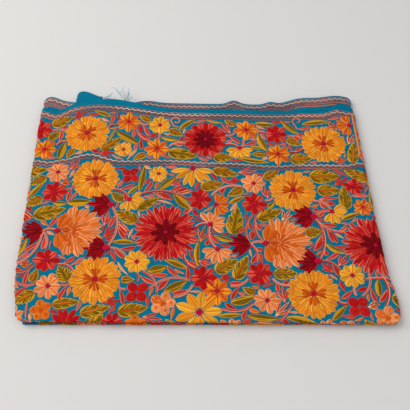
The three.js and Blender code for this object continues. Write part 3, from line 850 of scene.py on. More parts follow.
Bloom = namedtuple("Bloom", "kind x y r facing")
Place = namedtuple("Place", "kind column row facing")
RADIUS = {
    "marigold": 47, "great red": 62, "red": 45, "fan": 86, "tulip": 45, "bud": 45, "daisy": 42,
    "low daisy": 44, "half red": 31, "half peach": 30, "half sun": 29, "half orange": 28,
    "star": 27, "peach": 25, "scarlet": 25, "sun": 24, "peach bobble": 23, "cherry": 22,
}
BAND_CHART = [
    Place("scarlet", -28, 14, 0),
    Place("star", -27, 10, 0),
    Place("marigold", -20, 13, 45),
    Place("star", -13, 16, 0),
    Place("sun", -8, 15, 0),
    Place("star", -8, 10, 0),
    Place("red", 0, 12, 0),
    Place("half sun", 6, 10, 270),
    Place("star", 7, 14, 0),
    Place("scarlet", 12, 13, 0),
    Place("star", 12, 9, 0),
    Place("marigold", 20, 11, 90),
    Place("half orange", 25, 15, 180),
]
FIELD_CHART = [
    Place("peach", -24, 5, 0),
    Place("marigold", -18, 4, 90),
    Place("low daisy", -2, 6, 270),
    Place("scarlet", -24, 1, 0),
    Place("half sun", -12, 0, 315),
    Place("tulip", -15, -1, 180),
    Place("scarlet", -1, 0, 0),
    Place("half orange", 2, -1, 0),
    Place("bud", -25, -6, 180),
    Place("fan", -23, -6, 0),
    Place("great red", -6, -6, 0),
    Place("half peach", 1, -5, 45),
    Place("tulip", -15, -9, 180),
    Place("sun", -10, -11, 0),
    Place("scarlet", -24, -11, 0),
    Place("half peach", 2, -9, 270),
    Place("marigold", -16, -14, 90),
    Place("scarlet", 0, -14, 0),
    Place("peach", -23, -15, 0),
    Place("cherry", -10, -16, 45),
    Place("star", 2, -16, 0),
    Place("daisy", -1, -19, 0),
    Place("half red", -20, -21, 90),
    Place("half peach", -28, -20, 45),
    Place("peach bobble", -6, -18, 0),
]

GROUP_ANGLE = 21  # between petals of one group, in degrees
PETAL_STRAY = 4.0  # degrees off a petal's heading
PETAL_LENGTHS = (0.88, 1.06)
WIDEST_PETAL = 0.9  # of the flower's radius


def sew_bloom(sewing, bloom):
    """Sews a flower ring by ring. Petals stand at equal turns over the ring's arc, about the way
    that the flower faces, and each fills its share of the arc where it is broadest."""
    for ring in KINDS[bloom.kind]:
        closed = ring.arc == FULL
        petal = np.arange(ring.petals)
        share = petal - petal % ring.group + (0 if closed else 0.5)
        turn = ring.arc * (share / ring.petals - (0 if closed else 0.5))
        turn = turn + GROUP_ANGLE * (petal % ring.group - (ring.group - 1) / 2)
        heading = bloom.facing + turn + shake.uniform(-PETAL_STRAY, PETAL_STRAY, ring.petals)
        radians = np.radians(heading)
        reach = 1 - ring.narrow * (1 - np.cos(np.radians(turn)))
        inner = bloom.r * ring.inner
        length = bloom.r * (ring.outer - ring.inner) * reach
        length = length * shake.uniform(*PETAL_LENGTHS, len(turn))
        broadest = bloom.r * lerp(ring.inner, ring.outer, ring.shape.peak)
        width = ring.fill * broadest * math.radians(ring.arc) / ring.petals
        facing = math.radians(bloom.facing)
        middle_x = bloom.x + bloom.r * ring.shift * math.cos(facing)
        middle_y = bloom.y + bloom.r * ring.shift * math.sin(facing)
        pads(
            sewing, ring.shape,
            middle_x + inner * np.cos(radians), middle_y + inner * np.sin(radians),
            heading, length, min(width, WIDEST_PETAL * bloom.r),
            ring.body, ring.rim, ring.rib, lift=ring.lift,
        )


# The field comes again and again along the shawl, each time a little nearer the front fold. Past
# the sides of the top the repeats go on round the folds.
CLOTH_LEFT = -372.0
CLOTH_RIGHT = 966.0
CLOTH_FRONT = -285.0
UNDER_START = 372.0  # past here only the part near the front fold shows
UNDER_SHOWS = -205.0
HAND = 3.0  # how far the hand strays from the chart
REPEATS = range(-1, 4)


def on_chart(rows):
    """The flowers of a chart: the pitch times column and row, plus the hand's stray."""
    stray = shake.uniform(-HAND, HAND, (len(rows), 2))
    return [
        Bloom(row.kind, STEP * row.column + dx, STEP * row.row + dy, RADIUS[row.kind], row.facing)
        for row, (dx, dy) in zip(rows, stray)
    ]


def repeated(blooms):
    """The flowers moved by whole repeats, where they still lie on cloth that shows."""
    found = []
    for bloom in blooms:
        for k in REPEATS:
            x = bloom.x + k * REPEAT_X
            y = bloom.y + k * REPEAT_Y
            under = x > UNDER_START and y > UNDER_SHOWS
            if CLOTH_LEFT < x < CLOTH_RIGHT - bloom.r and y > CLOTH_FRONT and not under:
                found.append(bloom._replace(x=x, y=y))
    return found


band_blooms = on_chart(BAND_CHART)
field_blooms = repeated(on_chart(FIELD_CHART))
flowers = Stitching()
blossoms = Stitching()
for bloom in field_blooms:
    sew_bloom(flowers, bloom)
for bloom in band_blooms:
    sew_bloom(blossoms, bloom)

# ---------------------------------------------------------------- leaves and blades
# A leaf has a light and a dark half, each of slanting teeth of stitches that leave a notched edge,
# and a rib. A blade is a slim curved leaf of a few long rows.

Leaf = namedtuple("Leaf", "x y tip_x tip_y width rib")
Blade = namedtuple("Blade", "x y tip_x tip_y width bend wool")
TEETH = 5
RIB_WIDTH = 3.6
FIRST_TOOTH = 0.02  # from here to the rib's length, shares of a leaf's length
TEETH_SPREAD = 0.60
TOOTH_REACH = 0.34
TIP_START = 0.66
TIP_LENGTH = 0.38
BED_LENGTH = 0.9
RIB_LENGTH = 0.8
TEETH_OUT = 0.60  # the teeth's and the beds' places and width, as shares of its width
BED_OUT = 0.14
BED_WIDTH = 0.4
LOW = 0.9  # a lower crown than a petal's


def ahead(row):
    """The heading of a leaf's tip from its foot, in degrees."""
    return math.degrees(math.atan2(row.tip_y - row.y, row.tip_x - row.x))


def size(row):
    """The distance from a leaf's foot to its tip."""
    return math.hypot(row.tip_x - row.x, row.tip_y - row.y)


def sew_leaf(sewing, leaf):
    """Sews both halves, then the tip and the rib. The teeth of a half start along the rib and end
    further on, out at the leaf's edge, which is a sine of the way along."""
    length = size(leaf)
    heading = math.radians(ahead(leaf))
    along = np.array([math.cos(heading), math.sin(heading)])
    aside = np.array([-along[1], along[0]])
    root = np.array([leaf.x, leaf.y])
    at = FIRST_TOOTH + TEETH_SPREAD * np.arange(TEETH) / (TEETH - 1)
    reach = at + TOOTH_REACH
    half = TEETH_OUT * leaf.width * np.sin(np.pi * reach**0.8) ** 0.8
    tooth_width = 1.5 * length / TEETH * 0.62 + 2.5
    for side, body in ((1, ["mustard", "mustard", "olive"]), (-1, ["olive", "mustard"])):
        bed = root + aside * (side * leaf.width * BED_OUT)
        pads(
            sewing, TOOTH, bed[0], bed[1], ahead(leaf) - side * 3, length * BED_LENGTH,
            leaf.width * BED_WIDTH, "mustard", "olive", "olive", lift=-0.25,
        )
        start = root + along * length * at[:, None]
        end = root + along * length * reach[:, None] + aside * (side * half[:, None])
        run = end - start
        turn = np.degrees(np.arctan2(run[:, 1], run[:, 0]))
        pads(
            sewing, TOOTH, start[:, 0], start[:, 1], turn, np.hypot(*run.T) * 1.08,
            tooth_width, body, "straw", "olive", bend=side * 14, crown=LOW,
        )
    tip = root + along * length * TIP_START
    pads(
        sewing, TOOTH, tip[0], tip[1], ahead(leaf), length * TIP_LENGTH, leaf.width * BED_WIDTH,
        "mustard", "straw", "olive", crown=LOW,
    )
    pads(
        sewing, STROKE, leaf.x, leaf.y, ahead(leaf), length * RIB_LENGTH, RIB_WIDTH,
        leaf.rib, leaf.rib, leaf.rib, lift=0.35,
    )


BLADE_WIDTH = 1.25  # of the width that a blade is given
FACE_WIDTH = 0.75
FACE_OUT = 0.2


def sew_blade(sewing, blade):
    """Sews a curved olive blade, and over it a narrower one in its own wool, off to one side."""
    heading = math.radians(ahead(blade))
    side = math.copysign(1, blade.bend)
    out = side * blade.width * FACE_OUT
    x, y = blade.x + out * math.sin(heading), blade.y - out * math.cos(heading)
    pads(
        sewing, BLADE, blade.x, blade.y, ahead(blade), size(blade) * 1.06,
        BLADE_WIDTH * blade.width, "olive", "mustard", "olive", bend=blade.bend, crown=LOW,
    )
    pads(
        sewing, BLADE, x, y, ahead(blade), size(blade) * 0.98, FACE_WIDTH * blade.width,
        blade.wool, "straw", "mustard", bend=blade.bend, lift=0.25, crown=LOW,
    )


LINE_END = 0.4  # of a line's width


def sew_line(sewing, route, width, wool, rim, lift=0.2, crown=LOW):
    """Sews one long pad of even width along a route, narrower at its first and last points."""
    half = np.full(len(route), width / 2)
    half[[0, -1]] *= LINE_END
    one = np.array([1.0])
    sewing.add(
        route[None], half[None], lift * one, crown * one, wools(wool, 1), wools(rim, 1),
        wools(wool, 1),
    )


# ---------------------------------------------------------------- border lines
# Two narrow bands run the whole length of the shawl, one beside the hem and one between the
# border and the field: straight rows of dull rose, brown and grey-blue with pale wavy rows.

Row = namedtuple("Row", "offset width wool swing pitch")
UPPER_ROWS = [
    Row(6.0, 1.3, "dusty rose", 0.5, 9),
    Row(3.8, 1.3, "slate", 0.4, 12),
    Row(1.4, 1.6, "cream", 1.5, 12),
    Row(-0.6, 1.4, "dusty rose", 1.3, 12),
    Row(-3.4, 1.3, "brown", 0.3, 9),
    Row(-5.2, 1.3, "slate", 0.3, 9),
    Row(-7.4, 1.4, "dusty rose", 0.3, 9),
]
LOWER_ROWS = [
    Row(6.0, 1.2, "slate", 0.4, 12),
    Row(4.0, 1.6, "cream", 1.4, 12),
    Row(1.9, 1.4, "dusty rose", 1.3, 12),
    Row(-0.6, 1.2, "slate", 0.3, 9),
    Row(-2.4, 1.3, "brown", 0.3, 9),
    Row(-4.6, 1.5, "dusty rose", 1.2, 12),
]
MARGIN_WAVES = [Wave(-190, 50, 6, 0), Wave(220, 50, -4, 0), Wave(296, 18, 10, 0)]
LOWER_WAVES = [
    Wave(-312, 16, -4, 0),
    Wave(-232, 38, 17, 0),
    Wave(-80, 70, 5, 0),
    Wave(130, 45, -5, 0),
    Wave(308, 15, 6, 0),
]
HEM_MARGIN = 11.0  # plain cloth between the hem and the upper rows
UPPER_HALF = 8.0  # half the width of the upper rows
LOWER_LINE_Y = 79.0
LINES_RIGHT = 336.0
UPPER_LEFT = -352.0
LOWER_LEFT = -356.0


def upper_line(x):
    """The middle of the upper rows: inside the hem by its margin, which has waves of its own."""
    return hem(x) - HEM_MARGIN - waves(MARGIN_WAVES, x, "out") - UPPER_HALF


def lower_line(x):
    """The middle of the lower rows: it leans as the hem does, with waves of its own."""
    return LOWER_LINE_Y - HEM_EDGE.lean * x + waves(LOWER_WAVES, x, "out")


SKEIN = 90.0  # a skein of wool lasts about this long, and each has its own dye lot
SKEIN_STRAY = 20.0
ROW_POINTS = 2.0  # millimetres between the points of a row
FRESH = {"dusty rose": "pink", "brown": "dusty rose"}  # the wool of every third skein is fresher


def sew_rows(sewing, rows, line, start, end):
    """Sews rows along a line, skein by skein: each is the line plus its offset and a sine."""
    for row in rows:
        joins = np.arange(start, end, SKEIN) + shake.uniform(-SKEIN_STRAY, SKEIN_STRAY)
        joins[0] = start
        for number, (first, last) in enumerate(zip(joins, [*joins[1:], end])):
            s = np.arange(first - 1, last + 1, ROW_POINTS)
            t = line(s) + row.offset + row.swing * np.sin(2 * np.pi * s / row.pitch)
            lift = 0.5 if row.swing > 1 else 0.1
            wool = FRESH.get(row.wool, row.wool) if number % 3 == 0 else row.wool
            sew_line(sewing, np.stack([s, t], -1), row.width, wool, wool, lift, crown=0.7)


lines = Stitching()
sew_rows(lines, UPPER_ROWS, upper_line, UPPER_LEFT, LINES_RIGHT)
sew_rows(lines, LOWER_ROWS, lower_line, LOWER_LEFT, LINES_RIGHT)
line_stitches = lines.sew("line_stitches", on_face, stitched_wool)

# ---------------------------------------------------------------- the covered ground
# A coarse chart of the cloth tells where stitches lie already and how far the free ground runs,
# so that stems, leaves and petals can be sewn beside each other.

CELL = 2.0
GROUND_COLUMNS = int((CLOTH_RIGHT - CLOTH_LEFT) / CELL)
GROUND_ROWS = 266  # from the front of the cloth to about its hem
TURNS = 12  # headings that are tried, all round
HEADINGS = np.radians(np.arange(0, 360, 360 / TURNS))
FARTHEST = 60
REACHES = np.arange(0, FARTHEST, CELL / 2)
MARGIN = 1.7  # ground left bare round each pad
NEAR = MARGIN * np.array([[0, 0], [1, 0], [-1, 0], [0, 1], [0, -1]])
ground_x = CLOTH_LEFT + CELL * (np.arange(GROUND_COLUMNS)[None] + 0.5)
ground_y = CLOTH_FRONT + CELL * (np.arange(GROUND_ROWS)[:, None] + 0.5)
covered = (ground_y > upper_line(ground_x) - UPPER_HALF) | (
    (ground_x > UNDER_START) & (ground_y > UNDER_SHOWS)
)
covered[:2] = True
covered[:, :2] = True
covered[:, -2:] = True


def cells_of(points):
    """The row and column of the cell that each point lies in."""
    column = ((points[..., 0] - CLOTH_LEFT) / CELL).astype(int)
    row = ((points[..., 1] - CLOTH_FRONT) / CELL).astype(int)
    return np.clip(row, 0, GROUND_ROWS - 1), np.clip(column, 0, GROUND_COLUMNS - 1)


def cover(sewing, first=0):
    """Marks the ground under the pads of a sewing, from a given batch of them on."""
    points = np.concatenate(sewing.points[first:])[:, :2]
    for near in NEAR:
        covered[cells_of(points + near)] = True


def free_runs(x, y, headings=HEADINGS):
    """How far the free ground runs from x, y along each heading: the first reach that is
    covered."""
    along = np.stack([np.cos(headings), np.sin(headings)], -1)
    met = covered[cells_of(np.array([x, y]) + along[:, None] * REACHES[:, None])]
    met[:, -1] = True
    return REACHES[np.argmax(met, axis=1)]


cover(flowers)
cover(blossoms)
cover(lines)

# ---------------------------------------------------------------- stems between the flowers
# Rose-pink stems of two rows of chain stitch join neighbouring flowers in a bow, and single petals
# grow from both sides of them. They are sewn through the cloth after the flowers.

STEM_GAP = (12, 130)  # free distance between two flowers that a stem joins
STEMS_EACH = 3
STEM_WOOLS = ["pink", "salmon", "pink", "madder"]
STEM_ROW = 1.2  # each row lies this far off the middle
STEM_WIDTH = 2.5
BOW = 0.17  # of the stem's length
STEM_POINTS = 15
STEM_MEETS = 0.92  # of a round flower's radius
MOST_HIDDEN = 0.25  # a stem isn't sewn where more of it would lie on other stitches
SPRIG_TURN = 38
SPRIG_PITCH = 15
SPRIG_FOOT = 4
SPRIG_ROOM = (12, 30)  # the least free run, and the longest petal
SPRIG_WIDTH = 9.5
SPRIG_WOOLS = ["salmon", "madder", "peach"]


def bowed(start, end, bow):
    """A route from one point to another that bows to one side as a parabola does."""
    u = np.linspace(0, 1, STEM_POINTS)[:, None]
    run = end - start
    aside = np.array([-run[1], run[0]])
    return start + run * u + aside * bow * 4 * u * (1 - u)


def stem_end(bloom, other):
    """Where a stem meets a flower: at its foot if it opens to one side, or else at its rim."""
    foot = np.array([bloom.x, bloom.y])
    if KINDS[bloom.kind][0].arc < FULL:
        return foot
    away = np.array([other.x, other.y]) - foot
    return foot + STEM_MEETS * bloom.r * away / np.linalg.norm(away)


def sew_stems(sewing, blooms):
    """Joins the nearest pairs first, until each flower has its stems. Of the two bows that a stem
    can take, it takes the one with more free ground."""
    joined = {}
    pairs = []
    for i, one in enumerate(blooms):
        for j in range(i + 1, len(blooms)):
            start, end = stem_end(one, blooms[j]), stem_end(blooms[j], one)
            gap = float(np.linalg.norm(end - start))
            if STEM_GAP[0] < gap < STEM_GAP[1]:
                pairs.append((gap, i, j, start, end))
    for number, (gap, i, j, start, end) in enumerate(sorted(pairs, key=lambda pair: pair[0])):
        if joined.get(i, 0) >= STEMS_EACH or joined.get(j, 0) >= STEMS_EACH:
            continue
        routes = [bowed(start, end, bow) for bow in (BOW, -BOW)]
        hidden = [covered[cells_of(route[2:-2])].mean() for route in routes]
        best = int(np.argmin(hidden))
        if hidden[best] > MOST_HIDDEN:
            continue
        joined[i] = joined.get(i, 0) + 1
        joined[j] = joined.get(j, 0) + 1
        first = len(sewing.points)
        wool = STEM_WOOLS[number % len(STEM_WOOLS)]
        route = routes[best]
        run = np.gradient(route, axis=0)
        aside = np.stack([-run[:, 1], run[:, 0]], -1) / np.linalg.norm(run, axis=-1)[:, None]
        sew_line(sewing, route + STEM_ROW * aside, STEM_WIDTH, "rose", "pink")
        sew_line(sewing, route - STEM_ROW * aside, STEM_WIDTH, wool, wool)
        sew_sprigs(sewing, route, gap, number)
        cover(sewing, first)


def sew_sprigs(sewing, route, gap, number):
    """Sews single petals on both sides of a stem in turn, as long as the ground is free."""
    for k in range(int(gap / SPRIG_PITCH)):
        at = 3 + (4 * k) % 9
        run = route[at + 1] - route[at]
        side = 1 if (k + number) % 2 else -1
        heading = math.atan2(run[1], run[0]) + side * math.radians(SPRIG_TURN)
        x, y = route[at] + SPRIG_FOOT * np.array([math.cos(heading), math.sin(heading)])
        room = free_runs(x, y, np.array([heading]))[0]
        if room > SPRIG_ROOM[0]:
            length = min(room - 1, SPRIG_ROOM[1])
            wool = SPRIG_WOOLS[k % len(SPRIG_WOOLS)]
            pads(
                sewing, LONG_PETAL, x, y, math.degrees(heading), length, SPRIG_WIDTH,
                wool, "pink", "red", bend=side * 25, lift=0.15,
            )


stems = Stitching()

# Two tendril curls in the border, on ground of their own, come before the stems. Each winds in
# from its tail, almost all the way round.
CURL_RADIUS = 11
CURL_GROUND = 15
CURL_SWEEP = 330
CURL_SHRINK = 0.3
CURL_POINTS = 20
CURL_WIDTH = 3.4
CURL_TAIL = np.array([[18.0, -17.0], [6.0, -13.0]])  # two points that lead to the curl
CURLS = [Place("curl", -5, 16, 180), Place("curl", 16, 16, 225)]
for curl in CURLS:
    turn = np.radians(curl.facing + np.linspace(0, -CURL_SWEEP, CURL_POINTS))
    shrink = np.linspace(1, CURL_SHRINK, CURL_POINTS)
    around = CURL_RADIUS * shrink[:, None] * np.stack([np.cos(turn), np.sin(turn)], -1)
    route = around + STEP * np.array([curl.column, curl.row])
    tail = route[0] + CURL_TAIL
    sew_line(stems, np.concatenate([tail, route]), CURL_WIDTH, "pink", "pink")
    from_curl = np.hypot(ground_x - STEP * curl.column, ground_y - STEP * curl.row)
    covered[from_curl < CURL_GROUND] = True
sew_stems(stems, band_blooms)
sew_stems(stems, field_blooms)

# A line of orange runs along the right fold, beside the border.
FOLD_LINE_START = 95
FOLD_LINE_END = 214
FOLD_LINE_OUT = 2
FOLD_LINE_WIDTH = 5
fold_t = np.linspace(FOLD_LINE_START, FOLD_LINE_END, 16)
fold_line = np.stack([right_axis(fold_t) + FOLD_LINE_OUT, fold_t], -1)
sew_line(stems, fold_line, FOLD_LINE_WIDTH, "orange", "peach")
cover(stems)

# ---------------------------------------------------------------- growth in the free ground
# Small blossoms take the widest gaps, then leaves, blades, sprigs and single petals take what is
# left, each along the longest run of free ground it finds. A row gives the cells that have to be
# clear all round, and the least and most of its length and width.

Growth = namedtuple("Growth", "kind clear shortest longest narrowest widest")
GROWTHS = [
    Growth("blossom", 8, 0, 0, 24, 40),
    Growth("leaf", 6, 40, 60, 20, 28),
    Growth("blossom", 7, 0, 0, 24, 40),
    Growth("leaf", 4, 26, 52, 15, 24),
    Growth("blade", 3, 32, 58, 11, 18),
    Growth("leaf", 3, 22, 46, 12, 20),
    Growth("sprig", 2, 18, 38, 9, 20),
    Growth("blade", 2, 18, 44, 6, 12),
    Growth("petal", 1, 8, 34, 4, 11),
    Growth("petal", 1, 6, 20, 3, 8),
]
SPRIG_SPREAD = np.array([24, -24, 0])
BLOSSOMS = ["star", "scarlet", "sun", "cherry", "peach", "bobble", "scarlet", "peach bobble"]
PETAL_WOOLS = [
    ("salmon", "pink"), ("madder", "salmon"), ("rose", "pink"), ("red", "salmon"),
    ("orange", "peach"), ("peach", "pale peach"),
]
LEAF_RIBS = ["orange", "olive", "burnt"]
BLADE_WOOLS = ["mustard", "olive", "mustard"]
GROWTH_TURN = 15.0
GROWTH_BEND = 35.0
leaves = Stitching()


def room_across(x, y, heading, length):
    """Twice the least free run to either side, at three places along a length."""
    sides = np.array([heading + math.pi / 2, heading - math.pi / 2])
    found = [
        free_runs(x + share * length * math.cos(heading), y + share * length * math.sin(heading),
                  sides).min()
        for share in (0.3, 0.5, 0.7)
    ]
    return 2 * min(found)


def sew_growth(growth, x, y, number):
    """Sews one growth through x, y if it has room, and returns the sewing that it went to. Its
    length is the longest run of free ground both ways, and its width the room across."""
    headings = HEADINGS + math.radians(shake.uniform(-GROWTH_TURN, GROWTH_TURN))
    runs = free_runs(x, y, headings)
    if growth.kind == "blossom":
        radius = min(runs.min() + 3, growth.widest / 2)
        kind = BLOSSOMS[number % len(BLOSSOMS)]
        sew_bloom(blossoms, Bloom(kind, x, y, radius, shake.uniform(0, 360)))
        return blossoms
    through = runs + np.roll(runs, TURNS // 2)
    best = int(np.argmax(through))
    heading = headings[best]
    length = min(through[best] + 1, growth.longest)
    behind = min(runs[(best + TURNS // 2) % TURNS] + 0.5, length)
    x -= behind * math.cos(heading)
    y -= behind * math.sin(heading)
    width = min(room_across(x, y, heading, length) + 1.5, growth.widest)
    if length < growth.shortest or width < growth.narrowest:
        return None
    tip_x, tip_y = x + length * math.cos(heading), y + length * math.sin(heading)
    if growth.kind == "leaf":
        rib = LEAF_RIBS[number % len(LEAF_RIBS)]
        sew_leaf(leaves, Leaf(x, y, tip_x, tip_y, width, rib))
        return leaves
    bend = shake.uniform(-GROWTH_BEND, GROWTH_BEND)
    if growth.kind == "blade":
        wool = BLADE_WOOLS[number % len(BLADE_WOOLS)]
        sew_blade(leaves, Blade(x, y, tip_x, tip_y, width / BLADE_WIDTH, bend, wool))
        return leaves
    wool, rim = PETAL_WOOLS[number % len(PETAL_WOOLS)]
    if growth.kind == "sprig":
        pads(
            stems, LONG_PETAL, x, y, math.degrees(heading) + SPRIG_SPREAD,
            length * np.array([0.78, 0.78, 1.0]), max(0.46 * width, 6), wool, rim, "red",
            bend=np.array([18, -18, bend * 0.5]), lift=np.array([-0.1, -0.1, 0.2]),
        )
        return stems
    pads(
        stems, LONG_PETAL, x, y, math.degrees(heading), length, width, wool, rim, wool,
        bend=bend, lift=-0.1,
    )
    return stems


PAIRED = ("star", "sun", "peach", "scarlet", "marigold")
PAIR_ROOM = (20, 46)  # shortest and longest leaf of a pair
PAIR_ACROSS = 10  # the least room across it
PAIR_WIDTH = 0.48  # of its length


def sew_leaf_pair(bloom):
    """Two leaves that stand out from opposite sides of a flower, along the line where both have
    the most room. One that is short of room is left out."""
    radians = HEADINGS[:TURNS // 2]
    rooms = []
    for side in (1, -1):
        out_x, out_y = np.cos(radians) * side, np.sin(radians) * side
        rim = bloom.r + 3
        rooms.append([
            free_runs(bloom.x + rim * dx, bloom.y + rim * dy, np.array([math.atan2(dy, dx)]))[0]
            for dx, dy in zip(out_x, out_y)
        ])
    best = int(np.argmax(np.min(rooms, axis=0)))
    for side, room in zip((1, -1), np.array(rooms)[:, best]):
        length = min(room + 2, PAIR_ROOM[1])
        heading = radians[best] + (0 if side > 0 else math.pi)
        x = bloom.x + (bloom.r - 1) * math.cos(heading)
        y = bloom.y + (bloom.r - 1) * math.sin(heading)
        if room < PAIR_ROOM[0] or room_across(x, y, heading, length) < PAIR_ACROSS:
            continue
        first = len(leaves.points)
        tip = (x + length * math.cos(heading), y + length * math.sin(heading))
        sew_leaf(leaves, Leaf(x, y, *tip, PAIR_WIDTH * length, "orange"))
        cover(leaves, first)


for bloom in band_blooms + field_blooms:
    if bloom.kind in PAIRED:
        sew_leaf_pair(bloom)

# Each kind of growth tries every free cell once, in a random order.
for growth in GROWTHS:
    number = 0
    for cell in shake.permutation(GROUND_ROWS * GROUND_COLUMNS):
        row, column = divmod(int(cell), GROUND_COLUMNS)
        if covered[row, column]:
            continue
        low_row, low_column = max(row - growth.clear, 0), max(column - growth.clear, 0)
        around = covered[low_row:row + growth.clear + 1, low_column:column + growth.clear + 1]
        if around.any():
            continue
        counts = {id(sewing): len(sewing.points) for sewing in (blossoms, leaves, stems)}
        grown = sew_growth(growth, float(ground_x[0, column]), float(ground_y[row, 0]), number)
        if grown is not None:
            cover(grown, counts[id(grown)])
            number += 1

flower_stitches = flowers.sew("flower_stitches", on_face, stitched_wool)
blossom_stitches = blossoms.sew("blossom_stitches", on_face, stitched_wool)
leaf_stitches = leaves.sew("leaf_stitches", on_face, stitched_wool)
stem_stitches = stems.sew("stem_stitches", on_face, stitched_wool)
cut_of(leaf_s, leaf_t)

# ---------------------------------------------------------------- the leaf behind
# The next layer lies face up, and its wavy hem stands out behind the first one. Only its plain
# margin and its border lines show, so it has no flowers.

SECOND_HEM_WAVES = [
    Wave(-330, 22, 9, 4.0),
    Wave(-215, 45, -14, -1.0),
    Wave(-125, 28, 5, 1.2),
    Wave(62, 16, 8, 2.6),
    Wave(140, 14, 5, 2.2),
    Wave(205, 40, 15, 1.0),
    Wave(285, 56, 26, 2.0),
]
SECOND_TOP = 9.9
SECOND_TUCK = 6.0  # it starts this far in front of the hem above it
SECOND_INSET = 4.0
SECOND_LEFT_IN = 2.5
SECOND_RIGHT_IN = 2.0
SECOND_SIDE = 12.0  # at its sides it starts further back
SECOND_LEAST = 3.0  # its least depth
SECOND_OUTER = -0.3
SECOND_INNER = -1.6
LIFT_START = 8.0  # its waves rise from this far under the hem above
LIFT_RUN = 24.0


def second_hem(x):
    """The hem of the second leaf: a leaning edge with waves of its own."""
    out = waves(SECOND_HEM_WAVES, x, "out")
    return FOLDED_DEPTH / 2 - SECOND_INSET - HEM_EDGE.lean * x + out


def on_second(s, t, h):
    """A level sheet, whose waves rise as it comes out from under the hem above it."""
    s, t, h = np.broadcast_arrays(s, t, h)
    out = smooth((t - hem(s) + LIFT_START) / LIFT_RUN)
    return np.stack([s, t, SECOND_TOP + out * waves(SECOND_HEM_WAVES, s, "lift") + h], -1)


def sheet_grid(left, right, front, back, pitch, rows):
    """Cloth coordinates of a piece between two sides, in rows at equal shares of the way from its
    front to its back edge."""
    x = np.linspace(left, right, int((right - left) / pitch) + 1)
    t = lerp(front(x), back(x), np.linspace(0, 1, rows)[:, None])
    return np.broadcast_to(x[None], t.shape), t


second_left = left_axis(FOLDED_DEPTH / 2) - LEFT_RADIUS + SECOND_LEFT_IN
second_right = right_axis(FOLDED_DEPTH / 2) + RIGHT_RADIUS - SECOND_RIGHT_IN


def second_start(x):
    """The front edge: under the hem above, and behind the bottom pair at the two sides."""
    inner = np.minimum(x - second_left, second_right - x) > SECOND_SIDE
    return np.where(inner, hem(x) - SECOND_TUCK, BOTTOM_HEM + 3)


def second_end(x):
    """The back edge: the hem, cut back at its round corners, and never less than a strip."""
    side = np.minimum(x - second_left, second_right - x)
    return np.maximum(second_start(x) + SECOND_LEAST, second_hem(x) - 0.8 * corner_cut(side))


second_s, second_t = sheet_grid(second_left, second_right, second_start, second_end, 4, 9)
second_leaf = wall_object(
    "second_leaf_wool", on_second, second_s, second_t, SECOND_OUTER, SECOND_INNER, turquoise_wool
)
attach(second_leaf, "root")
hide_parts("second_leaf")

# Its border rows are those of the face leaf, and four more in front of them.
SECOND_ROWS = [row._replace(offset=row.offset - HEM_MARGIN) for row in UPPER_ROWS]
SECOND_ROWS += [
    Row(-20.4, 1.6, "brown", 0.3, 9),
    Row(-22.6, 1.6, "slate", 0.3, 9),
    Row(-24.8, 1.6, "dusty rose", 0.3, 9),
    Row(-27.0, 1.6, "slate", 0.3, 9),
]
second_lines = Stitching()
sew_rows(second_lines, SECOND_ROWS, second_end, second_left + 2, second_right - 2)
second_stitches = second_lines.sew("second_leaf_stitches", on_second, stitched_wool)
cut_of(second_s, second_t)

# ---------------------------------------------------------------- the layers inside
# Below the top leaf lie its second half, a folded pair with its own rounded front fold, and the
# inner layer of the bottom pair. They show as edges between the noses and at the back.

LINING_TOP = 13.4
MIDDLE_TOP = 10.2
INNER_TOP = 4.9
LAYER = 1.6
LAYER_SINK = -0.2
INNER_BACKSET = 14.0  # the front edge of the lining and the inner layer, behind the front fold
LINING_BACKSET = 10.5  # its back edge, in front of the hem
INNER_LEFT_IN = 8.0
MIDDLE_LEFT_IN = 6.0
MIDDLE_COLUMNS = 82
LAYER_PITCH = 8
FLAT_ROWS = 6
NOSE_ROWS = 9
tuck_end = -FOLDED_WIDTH / 2 + LEFT_EDGE.inset + LEFT_RADIUS + TUCK


def on_lining(s, t, h):
    """A sheet that follows the swells of the top above it."""
    s, t, h = np.broadcast_arrays(s, t, h)
    return np.stack([s, t, LINING_TOP + relief(s, t) + h], -1)


def on_middle(s, t, h):
    """The middle pair: flat above, bent round its front fold, and flat below."""
    s, t, h = np.broadcast_arrays(s, t, h)
    y, n = round_nose(front_fold(s) + MIDDLE_BACKSET + NOSE, t, h)
    return np.stack([s, y, MIDDLE_TOP + n], -1)


def on_inner(s, t, h):
    """A level sheet."""
    s, t, h = np.broadcast_arrays(s, t, h)
    return np.stack([s, t, INNER_TOP + h], -1)


def inner_front(x):
    """The front edge of a layer inside: along the front fold, behind it."""
    return front_fold(x) + INNER_BACKSET


def lining_back(x):
    """The back edge of the lining: along the hem, in front of it."""
    return hem(x) - LINING_BACKSET


def level_edge(y):
    """An edge that runs straight, with the slight waver of a pressed hem: the sum of two sines."""
    return lambda x: y + 0.6 * np.sin(x / 31) + 0.4 * np.sin(x / 13 + 1)


def middle_rows(x):
    """Rows of the middle pair, from its short upper layer round the nose to its lower edge."""
    start = front_fold(x) + MIDDLE_BACKSET + NOSE
    down = np.linspace(0, 1, FLAT_ROWS)[:, None]
    upper = lerp(lining_back(x) - 1, start + LAST_FLAT, down)
    bend = start - np.linspace(FIRST_BENT, np.pi * NOSE, NOSE_ROWS)[:, None]
    lower = level_edge(MIDDLE_HEM)(x) - start
    back = np.linspace(0.1, 1, FLAT_ROWS)[:, None]
    return np.concatenate([upper, bend, bend[-1:] - lower * back])


